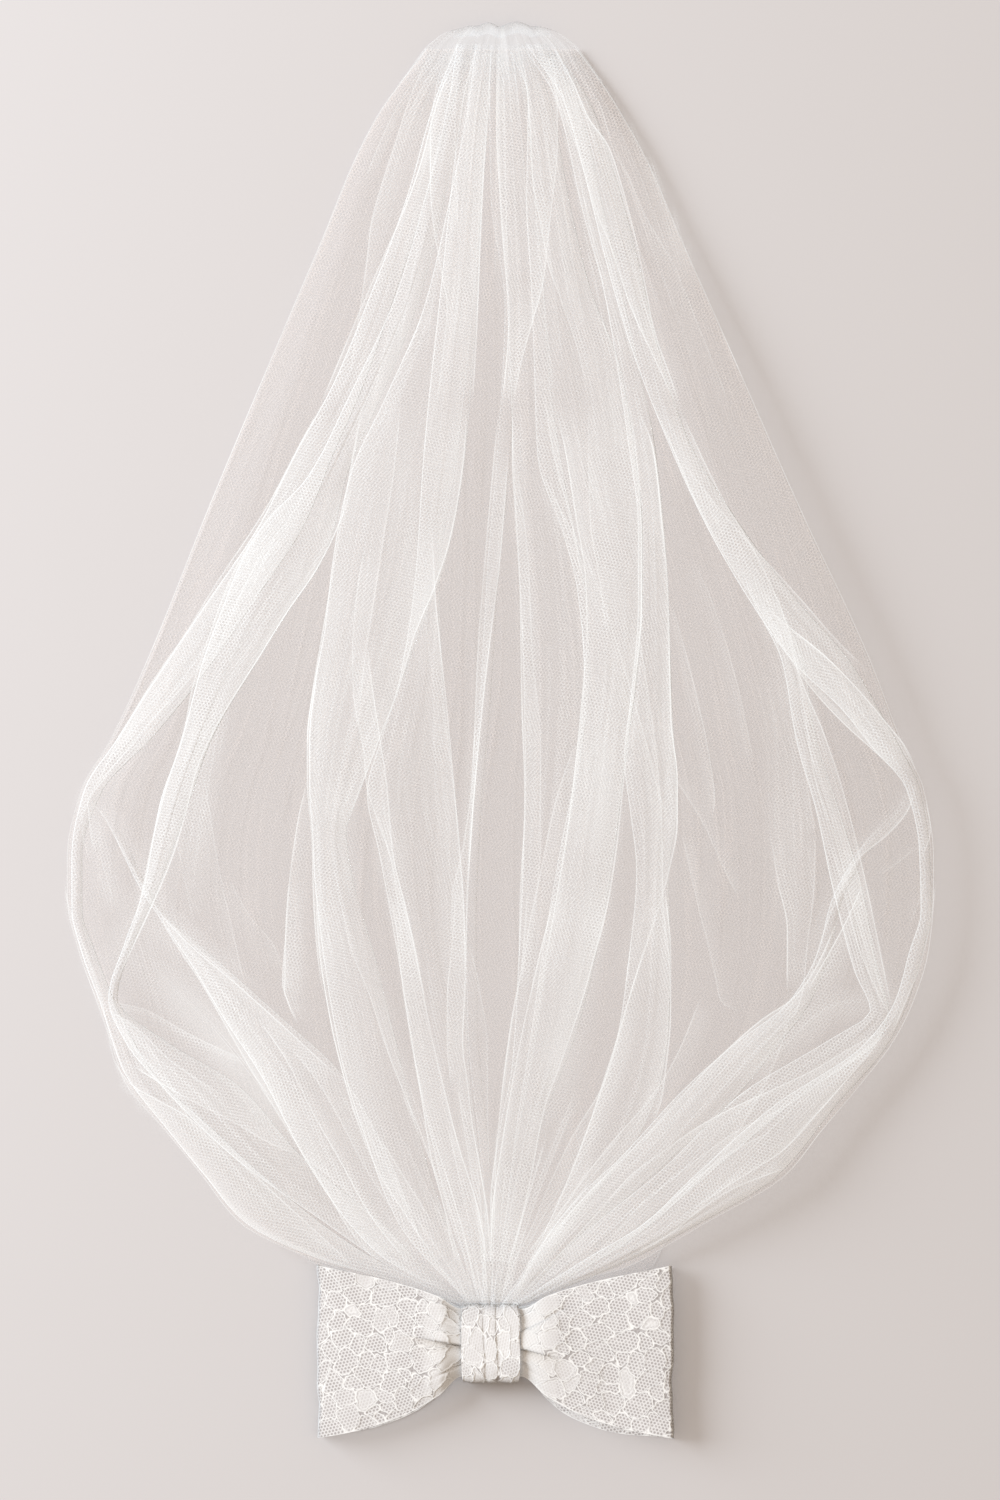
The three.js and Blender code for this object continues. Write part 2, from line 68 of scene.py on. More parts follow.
# %% Tables
OUTLINE = [
    (16, -48, 50), (24, -54, 56), (44, -69, 70), (57, -78, 78), (90, -95, 96), (137, -114, 116),
    (194, -138, 141), (311, -187, 192), (413, -228, 239), (465, -252, 259), (498, -271, 274),
    (540, -280, 280), (567, -280, 280), (600, -273, 277), (634, -261, 267), (660, -252, 254),
    (686, -243, 234), (718, -216, 207), (746, -193, 184), (777, -168, 132), (792, -142, 107),
]
BACK_END = [
    (806, -119, 100), (818, -100, 78), (829, -60, 45),
]
FRONT_END = [
    (806, -106, 82), (815, -78, 48), (822, -53, 29), (829, -32, 17),
]
LOOP = [
    (1, 21, -21, 11), (19, 21, -21, 13), (34, 30, -33, 17), (57, 38, -46, 18), (84, 45, -55, 15),
    (112, 51, -60.6, 9),
]
FOLDS = [
    ("tulle_fold_left_outer", 1, [
        (14, -28, -16), (49, -42, -29), (112, -60, -47), (177, -84, -68), (235, -108, -88),
        (281, -133, -108), (325, -155, -126), (377, -190, -160), (426, -223, -194), (465, -248, -226),
        (498, -269, -257), (540, -277, -270), (575, -277, -270), (601, -271, -262), (634, -259, -249),
        (678, -244, -226), (718, -214, -184), (746, -191, -154), (777, -164, -116), (800, -118, -82),
        (815, -68, -52), (TULLE_END, -24, -18.3),
    ]),
    ("tulle_fold_left", 2, [
        (14, -28, -17), (49, -33, -22), (112, -48, -35), (177, -67, -51), (244, -98, -77),
        (295, -124, -99), (325, -152, -106), (352, -168, -116), (377, -178, -133), (415, -192, -157),
        (467, -206, -187), (504, -219, -200), (564, -231, -222), (595, -242, -236), (632, -253, -247),
        (660, -242, -215), (688, -219, -169), (734, -172, -128), (777, -112, -76), (802, -76, -52),
        (TULLE_END, -24, -18.6),
    ]),
    ("tulle_fold_left_diagonal", 1, [
        (512, -256, -251), (562, -232, -226), (580, -220, -213), (608, -201, -182), (643, -180, -143),
        (683, -154, -101), (741, -123, -69), (796, -80, -46), (TULLE_END, -17.7, -12.4),
    ]),
    ("tulle_fold_centre_left", 2, [
        (14, -16, -7), (49, -20, -10), (117, -33, -12), (185, -49, -15), (244, -74, -19),
        (295, -97, -24), (350, -108, -35), (393, -113, -51), (426, -119, -63), (465, -123, -78),
        (497, -123, -90), (525, -121, -99), (549, -120, -96), (604, -114, -81), (669, -103, -65),
        (725, -86, -51), (776, -66, -35), (TULLE_END, -18, -12.5),
    ]),
    ("tulle_fold_centre_left_inner", 1, [
        (14, -15, -2), (49, -24, -6), (179, -39, -17), (276, -49, -27), (363, -55, -39),
        (426, -65, -37), (465, -77, -33), (499, -86, -29), (534, -79, -26), (576, -71, -23),
        (623, -63, -22), (678, -54, -20), (720, -45, -15), (771, -33, -9), (TULLE_END, -11.8, -6.4),
    ]),
    ("tulle_fold_centre", 2, [
        (14, -6, 3), (49, -7, 1), (114, -6, 3), (185, 3, 10), (281, -2, 7), (350, -8, 0),
        (440, -13, -6), (511, -19, -12), (586, -22, -15), (651, -21, -14), (720, -14, -8),
        (766, -10, -4), (TULLE_END, -11.9, -6.4),
    ]),
    ("tulle_fold_centre_right", 1, [
        (14, -1, 12), (49, -1, 18), (80, -1, 20), (170, 4, 28), (240, 7, 33), (295, 9, 41),
        (333, 11, 49), (368, 13, 55), (418, 15, 58), (476, 16, 52), (534, 15, 42), (604, 12, 31),
        (673, 8, 21), (720, -1, 12), (764, -6, 6), (TULLE_END, -5.8, -0.4),
    ]),
    ("tulle_fold_right_inner", 2, [
        (14, 4, 15), (49, 18, 32), (117, 17, 45), (172, 20, 58), (226, 22, 78), (281, 24, 87),
        (333, 41, 92), (370, 50, 92), (418, 54, 89), (476, 50, 81), (534, 39, 74), (604, 27, 62),
        (655, 20, 49), (711, 11, 28), (790, 1, 11), (TULLE_END, -5.8, -0.5),
    ]),
    ("tulle_fold_right_middle", 1, [
        (14, 14, 27), (49, 36, 50), (117, 52, 66), (179, 68, 80), (226, 76, 90), (268, 82, 99),
        (328, 89, 106), (377, 89, 109), (440, 84, 111), (476, 80, 113), (511, 84, 114), (550, 88, 109),
        (615, 82, 110), (651, 77, 109), (681, 68, 105), (720, 55, 90), (762, 38, 58), (800, 20, 32),
        (TULLE_END, 0.2, 5.6),
    ]),
    ("tulle_fold_right", 2, [
        (14, 17, 30), (49, 40, 57), (101, 55, 75), (158, 69, 90), (207, 83, 101), (270, 107, 121),
        (325, 132, 154), (377, 162, 193), (415, 189, 226), (445, 220, 244), (470, 240, 258),
        (497, 262, 271), (536, 270, 277), (576, 271, 278), (600, 264, 273), (632, 255, 264),
        (660, 236, 251), (701, 176, 216), (746, 125, 178), (777, 92, 127), (800, 55, 85),
        (TULLE_END, 6.2, 11.9),
    ]),
    ("tulle_fold_right_broad", 1, [
        (348, 153, 158), (377, 164, 179), (415, 182, 196), (465, 191, 204), (511, 204, 219),
        (558, 214, 233), (615, 229, 244), (640, 239, 251), (657, 215, 246), (694, 155, 195),
        (743, 104, 137), (790, 46, 81), (TULLE_END, 6.2, 11.8),
    ]),
    ("tulle_fold_right_diagonal", 2, [
        (510, 252, 258), (541, 228, 235), (570, 213, 220), (601, 205, 213), (634, 186, 200),
        (662, 150, 179), (692, 117, 155), (736, 76, 109), (760, 50, 82), (790, 27, 46), (815, 12, 24),
        (TULLE_END, 0.2, 5.6),
    ]),
]
# A crease has the side its band lies on, its strength, the band's width and its places, (x, drop).
CREASES = [
    ("R", 0.55, 14, [
        (-44, 16), (-58, 49), (-67, 77), (-76, 105), (-83, 131), (-86, 157), (-89, 179), (-94, 211),
        (-98, 239),
    ]),
    ("R", 0.85, 22, [
        (-28, 21), (-39, 47), (-44, 64), (-50, 88), (-60, 118), (-76, 155), (-89, 185), (-102, 216),
        (-117, 252),
    ]),
    ("R", 0.6, 10, [
        (-35, 18), (-42, 47), (-45, 75), (-45, 104), (-44, 122), (-37, 168), (-34, 185), (-37, 218),
        (-41, 252),
    ]),
    ("L", 0.4, 8, [(-25, 15), (-28, 42), (-29, 70), (-28, 107), (-27, 140)]),
    ("R", 0.35, 8, [(-18, 13), (-20, 42), (-21, 75), (-25, 120), (-27, 172), (-31, 218)]),
    ("L", 0.8, 20, [(-6, 20), (-8, 60), (-11, 105), (-13, 148), (-15, 200), (-18, 252)]),
    ("R", 0.8, 16, [(-2, 20), (-2, 70), (0, 114), (3, 157), (6, 190), (5, 211), (1, 252)]),
    ("R", 0.6, 12, [
        (13, 16), (18, 49), (20, 77), (21, 101), (26, 131), (31, 157), (41, 185), (50, 213), (57, 244),
    ]),
    ("L", 0.75, 12, [
        (34, 23), (37, 49), (37, 81), (34, 114), (31, 140), (28, 168), (20, 198), (13, 224), (8, 252),
    ]),
    ("R", 0.75, 14, [
        (31, 24), (34, 36), (44, 66), (54, 96), (60, 118), (72, 148), (84, 185), (99, 218), (115, 252),
    ]),
    ("R", 0.45, 10, [(23, 13), (39, 55), (49, 88), (55, 120), (65, 159), (75, 198), (79, 231)]),
    ("L", 0.8, 16, [
        (36, 18), (47, 39), (58, 64), (70, 81), (78, 105), (86, 135), (93, 168), (99, 200), (109, 229),
        (117, 252),
    ]),
    ("L", 0.35, 12, [(55, 39), (65, 55), (73, 83), (83, 101), (93, 125), (104, 144), (112, 158)]),
    ("R", 0.8, 22, [
        (-112, 244), (-125, 267), (-148, 311), (-161, 332), (-182, 363), (-203, 397), (-221, 423),
        (-237, 449), (-250, 473), (-263, 499), (-270, 508),
    ]),
    ("R", 0.9, 24, [
        (-148, 319), (-172, 358), (-187, 397), (-198, 431), (-203, 457), (-216, 499), (-224, 530),
        (-231, 564), (-237, 587), (-252, 621),
    ]),
    ("L", 0.55, 14, [
        (-179, 400), (-200, 426), (-221, 449), (-237, 467), (-252, 486), (-265, 504), (-269, 518),
    ]),
    ("L", 0.9, 20, [
        (-94, 296), (-101, 319), (-117, 353), (-138, 384), (-156, 413), (-174, 441), (-186, 462),
        (-195, 483), (-203, 514), (-211, 540), (-224, 571), (-239, 603), (-252, 631),
    ]),
    ("R", 0.45, 12, [(-116, 289), (-136, 322), (-155, 348), (-172, 382), (-186, 418)]),
    ("R", 0.9, 24, [
        (-88, 244), (-94, 278), (-99, 306), (-107, 353), (-114, 395), (-120, 431), (-124, 465),
        (-124, 491), (-121, 530), (-120, 569), (-117, 608), (-113, 634),
    ]),
    ("R", 0.75, 16, [(-124, 491), (-130, 517), (-135, 551), (-138, 587), (-139, 634)]),
    ("R", 0.6, 14, [
        (-86, 335), (-92, 369), (-95, 410), (-94, 439), (-88, 470), (-86, 493), (-78, 519), (-70, 543),
        (-65, 577), (-62, 618),
    ]),
    ("L", 0.7, 14, [(-86, 400), (-83, 426), (-78, 460), (-73, 493), (-69, 538), (-60, 577), (-49, 631)]),
    ("L", 0.95, 26, [
        (-21, 244), (-23, 278), (-31, 330), (-42, 366), (-55, 397), (-65, 431), (-73, 452), (-83, 478),
        (-91, 499), (-101, 525),
    ]),
    ("L", 0.5, 12, [(-64, 244), (-68, 289), (-75, 335), (-81, 374), (-87, 413), (-91, 452)]),
    ("L", 0.75, 20, [
        (-44, 322), (-42, 369), (-39, 400), (-34, 447), (-30, 491), (-26, 535), (-23, 582), (-22, 634),
    ]),
    ("R", 0.6, 8, [
        (0, 244), (-5, 296), (-10, 353), (-14, 405), (-16, 452), (-18, 491), (-23, 530), (-31, 569),
        (-32, 608),
    ]),
    ("L", 0.7, 8, [
        (6, 270), (0, 348), (-5, 389), (-10, 431), (-14, 470), (-18, 517), (-21, 569), (-23, 634),
    ]),
    ("R", 0.65, 12, [
        (-265, 504), (-257, 512), (-244, 535), (-231, 558), (-221, 574), (-198, 597), (-174, 618),
        (-159, 634),
    ]),
    ("L", 0.3, 16, [(-191, 486), (-187, 512), (-182, 543), (-172, 590), (-165, 621)]),
    ("R", 0.25, 14, [(-213, 512), (-208, 532), (-203, 556), (-198, 582)]),
    ("L", 0.28, 16, [(-174, 556), (-161, 579), (-146, 597), (-140, 613)]),
    ("R", 0.4, 8, [(-266, 504), (-264, 523), (-262, 536)]),
    ("R", 0.3, 8, [(-270, 504), (-269, 526), (-265, 541)]),
    ("L", 0.6, 7, [(-281, 556), (-277, 577), (-266, 604), (-256, 635), (-254, 645)]),
    ("L", 0.75, 18, [
        (-254, 642), (-250, 668), (-239, 686), (-221, 697), (-203, 707), (-184, 723), (-164, 740),
        (-138, 764), (-115, 785), (-98, 801),
    ]),
    ("R", 0.6, 14, [(-239, 674), (-214, 689), (-200, 697), (-174, 710), (-148, 725), (-130, 733)]),
    ("L", 0.45, 12, [
        (-252, 638), (-232, 655), (-213, 686), (-200, 710), (-182, 727), (-162, 751), (-136, 780),
    ]),
    ("L", 0.5, 14, [(-252, 634), (-232, 638), (-200, 655), (-162, 673)]),
    ("L", 0.35, 10, [(-252, 640), (-239, 647), (-211, 673), (-176, 696)]),
    ("L", 0.9, 16, [(-223, 573), (-200, 597), (-174, 619), (-148, 642), (-122, 666), (-102, 684)]),
    ("R", 0.9, 20, [
        (-223, 573), (-210, 595), (-193, 621), (-177, 649), (-161, 677), (-145, 703), (-130, 727),
        (-112, 755), (-98, 779), (-80, 801),
    ]),
    ("R", 0.6, 14, [(-158, 642), (-138, 671), (-122, 703), (-102, 738), (-83, 772), (-60, 801)]),
    ("R", 0.5, 12, [(-136, 662), (-117, 686), (-102, 712), (-86, 742), (-68, 770)]),
    ("R", 0.45, 10, [(-130, 731), (-104, 751), (-81, 774), (-55, 800)]),
    ("R", 0.85, 20, [
        (-119, 556), (-117, 595), (-110, 642), (-102, 677), (-93, 707), (-80, 740), (-60, 772),
        (-41, 801),
    ]),
    ("R", 0.65, 14, [(-136, 556), (-138, 590), (-140, 621), (-136, 636), (-131, 648)]),
    ("R", 0.6, 14, [
        (-104, 562), (-96, 599), (-83, 632), (-73, 664), (-60, 697), (-47, 729), (-37, 762),
        (-26, 801),
    ]),
    ("R", 0.85, 14, [
        (-73, 556), (-67, 584), (-63, 621), (-57, 660), (-50, 699), (-44, 736), (-37, 762), (-29, 801),
    ]),
    ("L", 0.8, 14, [(-65, 556), (-54, 603), (-46, 647), (-37, 686), (-26, 729), (-15, 764), (-8, 801)]),
    ("R", 0.5, 8, [(-28, 556), (-31, 599), (-34, 632), (-34, 660), (-31, 692)]),
    ("L", 0.75, 12, [
        (-22, 608), (-23, 634), (-24, 660), (-21, 686), (-18, 712), (-13, 740), (-8, 772), (-6, 801),
    ]),
    ("L", 0.3, 8, [(-20, 593), (-13, 627), (-8, 664), (-8, 707), (-7, 744)]),
    ("R", 0.8, 10, [(18, 556), (14, 610), (8, 642), (2, 686), (-2, 725), (-6, 764), (-6, 801)]),
    ("R", 0.9, 22, [
        (96, 244), (109, 272), (125, 309), (143, 343), (164, 376), (182, 405), (200, 431), (221, 454),
        (242, 473), (263, 493),
    ]),
    ("L", 0.8, 18, [
        (112, 244), (143, 309), (166, 348), (185, 392), (192, 421), (208, 460), (221, 499), (234, 551),
        (247, 613), (254, 647),
    ]),
    ("L", 0.6, 10, [(112, 278), (133, 306), (153, 330), (174, 353), (195, 376), (216, 400), (237, 421)]),
    ("L", 0.85, 18, [(166, 374), (182, 389), (208, 410), (229, 431), (247, 452), (263, 473), (268, 486)]),
    ("R", 0.5, 14, [(187, 400), (195, 441), (203, 491), (216, 530), (226, 569), (239, 608), (251, 640)]),
    ("R", 0.95, 26, [
        (34, 244), (42, 278), (49, 322), (55, 361), (56, 395), (53, 436), (49, 478), (44, 519),
        (36, 569), (29, 608), (23, 631),
    ]),
    ("L", 0.85, 20, [
        (83, 244), (88, 283), (91, 335), (91, 382), (87, 426), (83, 457), (79, 496), (75, 535),
        (68, 577), (57, 618),
    ]),
    ("R", 0.4, 16, [(57, 244), (57, 276), (58, 322), (64, 361), (69, 400)]),
    ("L", 0.85, 18, [
        (86, 244), (99, 280), (104, 322), (108, 369), (109, 410), (110, 452), (114, 491), (114, 519),
        (109, 548), (101, 577), (91, 608), (83, 634),
    ]),
    ("L", 0.4, 12, [
        (21, 283), (39, 317), (60, 358), (73, 395), (83, 428), (94, 467), (104, 504), (112, 527),
    ]),
    ("L", 0.6, 14, [(88, 389), (94, 426), (101, 478), (104, 517), (105, 569), (109, 608), (110, 634)]),
    ("L", 0.4, 8, [(109, 374), (117, 400), (127, 439), (135, 478), (138, 504), (136, 517)]),
    ("R", 0.38, 8, [(112, 488), (130, 517), (143, 545), (153, 566)]),
    ("R", 0.3, 8, [(117, 525), (127, 569), (138, 613), (143, 634), (155, 640)]),
    ("L", 0.28, 10, [(124, 348), (138, 380), (155, 439), (164, 484)]),
    ("R", 0.55, 10, [(174, 525), (179, 556), (185, 587), (185, 627)]),
    ("L", 0.45, 9, [(203, 525), (202, 561), (198, 595), (195, 626), (188, 647)]),
    ("L", 0.3, 10, [(195, 465), (199, 504), (203, 525)]),
    ("L", 0.7, 12, [(268, 493), (263, 509), (250, 525), (229, 543), (218, 564), (208, 590), (198, 623)]),
    ("R", 0.65, 12, [(233, 558), (224, 579), (213, 600), (198, 626)]),
    ("L", 0.35, 6, [(274, 504), (277, 523), (272, 540)]),
    ("L", 0.28, 5, [(244, 552), (257, 543), (268, 534)]),
    ("L", 0.28, 5, [(264, 582), (272, 562), (274, 553)]),
    ("R", 0.75, 12, [
        (8, 244), (8, 283), (10, 322), (13, 374), (14, 439), (16, 504), (13, 569), (12, 629),
    ]),
    ("L", 0.45, 10, [(10, 283), (18, 348), (21, 413), (26, 465), (26, 530), (22, 582)]),
    ("R", 0.6, 14, [(49, 465), (36, 504), (26, 551), (18, 590), (13, 627)]),
    ("R", 0.55, 12, [(29, 244), (34, 278), (47, 330), (53, 367)]),
    ("R", 0.55, 12, [(212, 530), (221, 560), (229, 593), (242, 625), (252, 645)]),
    ("L", 0.6, 7, [(281, 556), (277, 582), (270, 611), (260, 636), (253, 653)]),
    ("R", 0.95, 26, [
        (219, 577), (202, 614), (188, 632), (169, 645), (143, 668), (115, 697), (96, 718), (76, 738),
        (57, 757), (41, 775), (20, 801),
    ]),
    ("R", 0.8, 14, [
        (252, 649), (228, 662), (203, 677), (176, 690), (148, 703), (125, 716), (104, 731), (86, 744),
        (65, 767), (39, 796),
    ]),
    ("R", 0.55, 10, [
        (250, 653), (223, 673), (200, 690), (180, 703), (154, 716), (135, 729), (109, 749), (91, 764),
        (65, 793),
    ]),
    ("L", 0.75, 14, [(247, 656), (223, 684), (200, 710), (182, 729), (162, 742), (143, 754), (124, 767)]),
    ("R", 0.45, 10, [(176, 716), (148, 731), (124, 749), (101, 770)]),
    ("L", 0.6, 10, [(184, 740), (151, 753), (130, 766), (109, 783), (91, 794)]),
    ("L", 0.4, 10, [(190, 627), (184, 653), (171, 686), (154, 716), (140, 738)]),
    ("L", 0.75, 16, [(106, 560), (110, 603), (110, 642), (107, 677), (104, 697), (98, 714)]),
    ("R", 0.7, 14, [
        (130, 629), (117, 662), (104, 686), (91, 703), (76, 720), (58, 742), (41, 766), (20, 793),
    ]),
    ("R", 0.75, 14, [
        (104, 567), (91, 606), (80, 642), (70, 677), (58, 712), (46, 744), (31, 777), (14, 801),
    ]),
    ("R", 0.9, 18, [(37, 558), (24, 610), (13, 660), (5, 703), (-1, 740), (-5, 770), (-6, 801)]),
    ("L", 0.8, 16, [
        (73, 556), (63, 595), (54, 629), (41, 668), (28, 705), (20, 746), (12, 781), (5, 803),
    ]),
    ("R", 0.6, 12, [(83, 632), (67, 686), (47, 720), (32, 751), (20, 780), (8, 803)]),
    ("L", 0.45, 10, [(58, 712), (46, 741), (29, 770), (13, 801)]),
    ("both", 0.14, 20, [(49, 68), (64, 179), (75, 289), (75, 439), (68, 523)]),
    ("both", 0.28, 24, [(77, 400), (65, 504), (55, 582), (36, 673), (16, 764)]),
    ("both", 0.26, 17, [(-46, 88), (-51, 142), (-60, 188), (-88, 263), (-110, 309)]),
    ("both", 0.12, 14, [(-62, 244), (-62, 337), (-79, 400)]),
    ("both", 0.24, 14, [(65, 16), (84, 49), (111, 123), (124, 179)]),
    ("both", 0.36, 24, [(-240, 588), (-221, 614), (-181, 656), (-138, 712), (-110, 751)]),
    ("both", 0.18, 16, [(-177, 413), (-192, 497), (-203, 588)]),
    ("both", 0.18, 22, [(176, 400), (185, 467), (187, 541), (195, 608)]),
    ("both", 0.2, 16, [(150, 692), (176, 671), (222, 636), (254, 634)]),
    ("both", 0.18, 14, [(-104, 484), (-101, 523), (-96, 575)]),
    ("both", 0.14, 12, [(-261, 504), (-256, 543), (-246, 582)]),
]
print(len(FOLDS), "folds and", len(CREASES), "creases")

# %% [markdown]
# ## Smooth curves through the tables
#
# A table has a row for each section that was measured.
# The curve between rows must not swing past them, so its slopes are kept small where the rows turn.


# %% Curves
def column(rows, index, along=0):
    """A smooth function through one column of a table."""
    t = np.array([row[along] for row in rows], float)
    v = np.array([row[index] for row in rows], float)
    chord = np.diff(v) / np.diff(t)
    before = np.concatenate([chord[:1], chord])
    after = np.concatenate([chord, chord[-1:]])
    safe = np.where(before * after > 0, before + after, 1.0)
    slope = np.where(before * after > 0, 2 * before * after / safe, 0.0)

    def read(place):
        at = np.clip(np.asarray(place, float), t[0], t[-1])
        i = np.clip(np.searchsorted(t, at, side="right") - 1, 0, len(t) - 2)
        span = t[i + 1] - t[i]
        s = (at - t[i]) / span
        rise = s * s * (3 - 2 * s)
        leave = s * (1 - s) ** 2 * span * slope[i]
        arrive = s * s * (s - 1) * span * slope[i + 1]
        return v[i] + (v[i + 1] - v[i]) * rise + leave + arrive

    return read


def smoothstep(low, high, value):
    """A smooth rise from 0 at low to 1 at high, or a fall where low is the greater of the two."""
    s = np.clip((np.asarray(value, float) - low) / (high - low), 0, 1)
    return s * s * (3 - 2 * s)


def wander(values, seed, waves=5, longest=200.0):
    """A gentle seeded wave, between about -1 and 1."""
    dice = np.random.default_rng(seed)
    total = np.zeros_like(np.asarray(values, float))
    for k in range(1, waves + 1):
        total += np.sin(2 * np.pi * k * np.asarray(values) / longest + dice.uniform(0, 6.28)) / k
    return total / 1.6


outline_left = column(OUTLINE, 1)
outline_right = column(OUTLINE, 2)
half_way = TULLE_END / 2
half_way_width = float(outline_right(half_way) - outline_left(half_way))
print(f"Half way down, the veil is {half_way_width:.0f} mm wide")

# %% [markdown]
# ## How the cloth lies
#
# Between its two gathers the front of the panel springs up off the surface.
# Its sides curl up, the right one more than the left, and the bundle rises towards the bow.
# Every sheet that lies on the panel follows the same height, so they lie on one another as real folds do.

# %% Lie of the cloth
LOFT_HEIGHT = 16.0
LOFT_START = 25.0
LOFT_END = 800.0
LOFT_POWER = 0.8
LOFT_EDGE_DROOP = 0.35
EDGE_CURL = 7.0
CURL_UPPER_SHARE = 0.6
CURL_UPPER = (60, 300)  # drops between which the curl grows first
CURL_LOWER = (430, 620)  # and those between which it grows again
CURL_GONE = (815, 765)
CURL_FROM = 0.35
CURL_LEFT = 0.6
BUNDLE_RISE = 11.0
BUNDLE_RISES = (640, 815)


def fan(x, drop):
    """-1 at the left edge of the tulle, 1 at the right edge."""
    left = outline_left(drop)
    right = outline_right(drop)
    return np.clip((2 * x - left - right) / (right - left), -1, 1)


def loft(x, drop):
    """Height of the front of the panel above its own wall, in mm."""
    share = np.clip((drop - LOFT_START) / (LOFT_END - LOFT_START), 0, 1)
    lift = np.maximum(np.sin(np.pi * share), 0) ** LOFT_POWER
    place = fan(x, drop)
    upper = CURL_UPPER_SHARE * smoothstep(*CURL_UPPER, drop)
    lower = (1 - CURL_UPPER_SHARE) * smoothstep(*CURL_LOWER, drop)
    outward = np.where(place > 0, place, -CURL_LEFT * place)
    curl = EDGE_CURL * (upper + lower) * smoothstep(*CURL_GONE, drop) * smoothstep(CURL_FROM, 1, outward)
    bundle = BUNDLE_RISE * smoothstep(*BUNDLE_RISES, drop)
    return LOFT_HEIGHT * lift * (1 - LOFT_EDGE_DROOP * place**2) + curl + bundle


print("Loft of the middle, half way down:", float(loft(0, half_way).round(1)), "mm")

# %% [markdown]
# ## From a grid of points to a mesh
#
# Each sheet is a grid of points, row by row.
# A sheet of tulle carries four numbers at every point for its material.
# Cover is how much of the light the net stops, and strand counts millimetres across the cloth.
# Gather says how tightly the cloth is drawn up, and shade how strong a shadow it casts for its cover.
# Numbers at the points need no picture, and they follow the cloth wherever it goes.


# %% Meshes
def grid_faces(rows, columns):
    i, j = np.meshgrid(np.arange(rows - 1), np.arange(columns - 1), indexing="ij")
    corner = i * columns + j
    quads = np.stack([corner, corner + columns, corner + columns + 1, corner + 1], -1)
    return quads.reshape(-1, 4)


def mesh_piece(name, points, faces, uv, numbers, material):
    """Makes one piece from points in mm, quads, a map in mm and named numbers at the points."""
    mesh = bpy.data.meshes.new(name)
    points = np.asarray(points, np.float32).reshape(-1, 3)
    faces = np.asarray(faces, np.int32)
    mesh.vertices.add(len(points))
    mesh.vertices.foreach_set("co", (points * MM).ravel())
    mesh.loops.add(faces.size)
    mesh.loops.foreach_set("vertex_index", faces.ravel())
    mesh.polygons.add(len(faces))
    starts = np.arange(0, faces.size, faces.shape[1], dtype=np.int32)
    mesh.polygons.foreach_set("loop_start", starts)
    mesh.update(calc_edges=True)
    mesh.polygons.foreach_set("use_smooth", np.ones(len(faces), bool))
    layer = mesh.uv_layers.new(name="mm")
    corners = np.asarray(uv, np.float32).reshape(-1, 2)[faces.ravel()]
    layer.data.foreach_set("uv", corners.ravel())
    for key, values in numbers.items():
        made = mesh.attributes.new(key, "FLOAT", "POINT")
        made.data.foreach_set("value", np.asarray(values, np.float32).ravel())
    mesh.validate()
    piece = bpy.data.objects.new(name, mesh)
    bpy.context.scene.collection.objects.link(piece)
    mesh.materials.append(material)
    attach(piece, "root")
    print(f"{name}: {len(points)} points, {2 * len(faces)} triangles")
    return piece


def for_camera_only(piece):
    """Light scatters on through a fold of tulle, so a fold takes no light from what lies under it."""
    piece.visible_shadow = False
    piece.visible_diffuse = False
    piece.visible_glossy = False


class Grids:
    """Several grids gathered into one mesh."""

    def __init__(self):
        self.points = []
        self.faces = []
        self.uv = []
        self.numbers = {}
        self.count = 0

    def add(self, points, uv, **numbers):
        rows, columns = points.shape[:2]
        self.faces.append(grid_faces(rows, columns) + self.count)
        self.points.append(points.reshape(-1, 3))
        self.uv.append(uv.reshape(-1, 2))
        for key, values in numbers.items():
            spread = np.broadcast_to(values, (rows, columns))
            self.numbers.setdefault(key, []).append(spread.ravel())
        self.count += rows * columns

    def piece(self, name, material):
        numbers = {key: np.concatenate(values) for key, values in self.numbers.items()}
        joined = [np.concatenate(part) for part in (self.points, self.faces, self.uv)]
        return mesh_piece(name, *joined, numbers, material)


# %% [markdown]
# ## Tools for materials
#
# A material is a tree of nodes, and most of its nodes do a sum, read a number or map one range to another.
# A short function for each keeps the trees below readable.


# %% Node tools
def node_group(name, inputs, outputs):
    group = bpy.data.node_groups.new(name, "ShaderNodeTree")
    for label, kind in inputs:
        group.interface.new_socket(label, in_out="INPUT", socket_type=kind)
    for label, kind in outputs:
        group.interface.new_socket(label, in_out="OUTPUT", socket_type=kind)
    return group, group.nodes.new("NodeGroupInput"), group.nodes.new("NodeGroupOutput")


def math_node(tree, operation, *values, clamp=False):
    node = tree.nodes.new("ShaderNodeMath")
    node.operation = operation
    node.use_clamp = clamp
    for k, value in enumerate(values):
        if isinstance(value, (int, float)):
            node.inputs[k].default_value = value
        else:
            tree.links.new(value, node.inputs[k])
    return node.outputs[0]


def ramp_node(tree, value, low, high, to_low=0.0, to_high=1.0):
    node = tree.nodes.new("ShaderNodeMapRange")
    node.interpolation_type = "SMOOTHSTEP"
    tree.links.new(value, node.inputs["Value"])
    node.inputs["From Min"].default_value = low
    node.inputs["From Max"].default_value = high
    node.inputs["To Min"].default_value = to_low
    node.inputs["To Max"].default_value = to_high
    return node.outputs["Result"]


def attribute(tree, name):
    node = tree.nodes.new("ShaderNodeAttribute")
    node.attribute_name = name
    return node.outputs["Fac"]


def new_material(name):
    material = bpy.data.materials.new(name)
    material.use_nodes = True
    tree = material.node_tree
    shader = next(node for node in tree.nodes if node.type == "BSDF_PRINCIPLED")
    return material, tree, shader


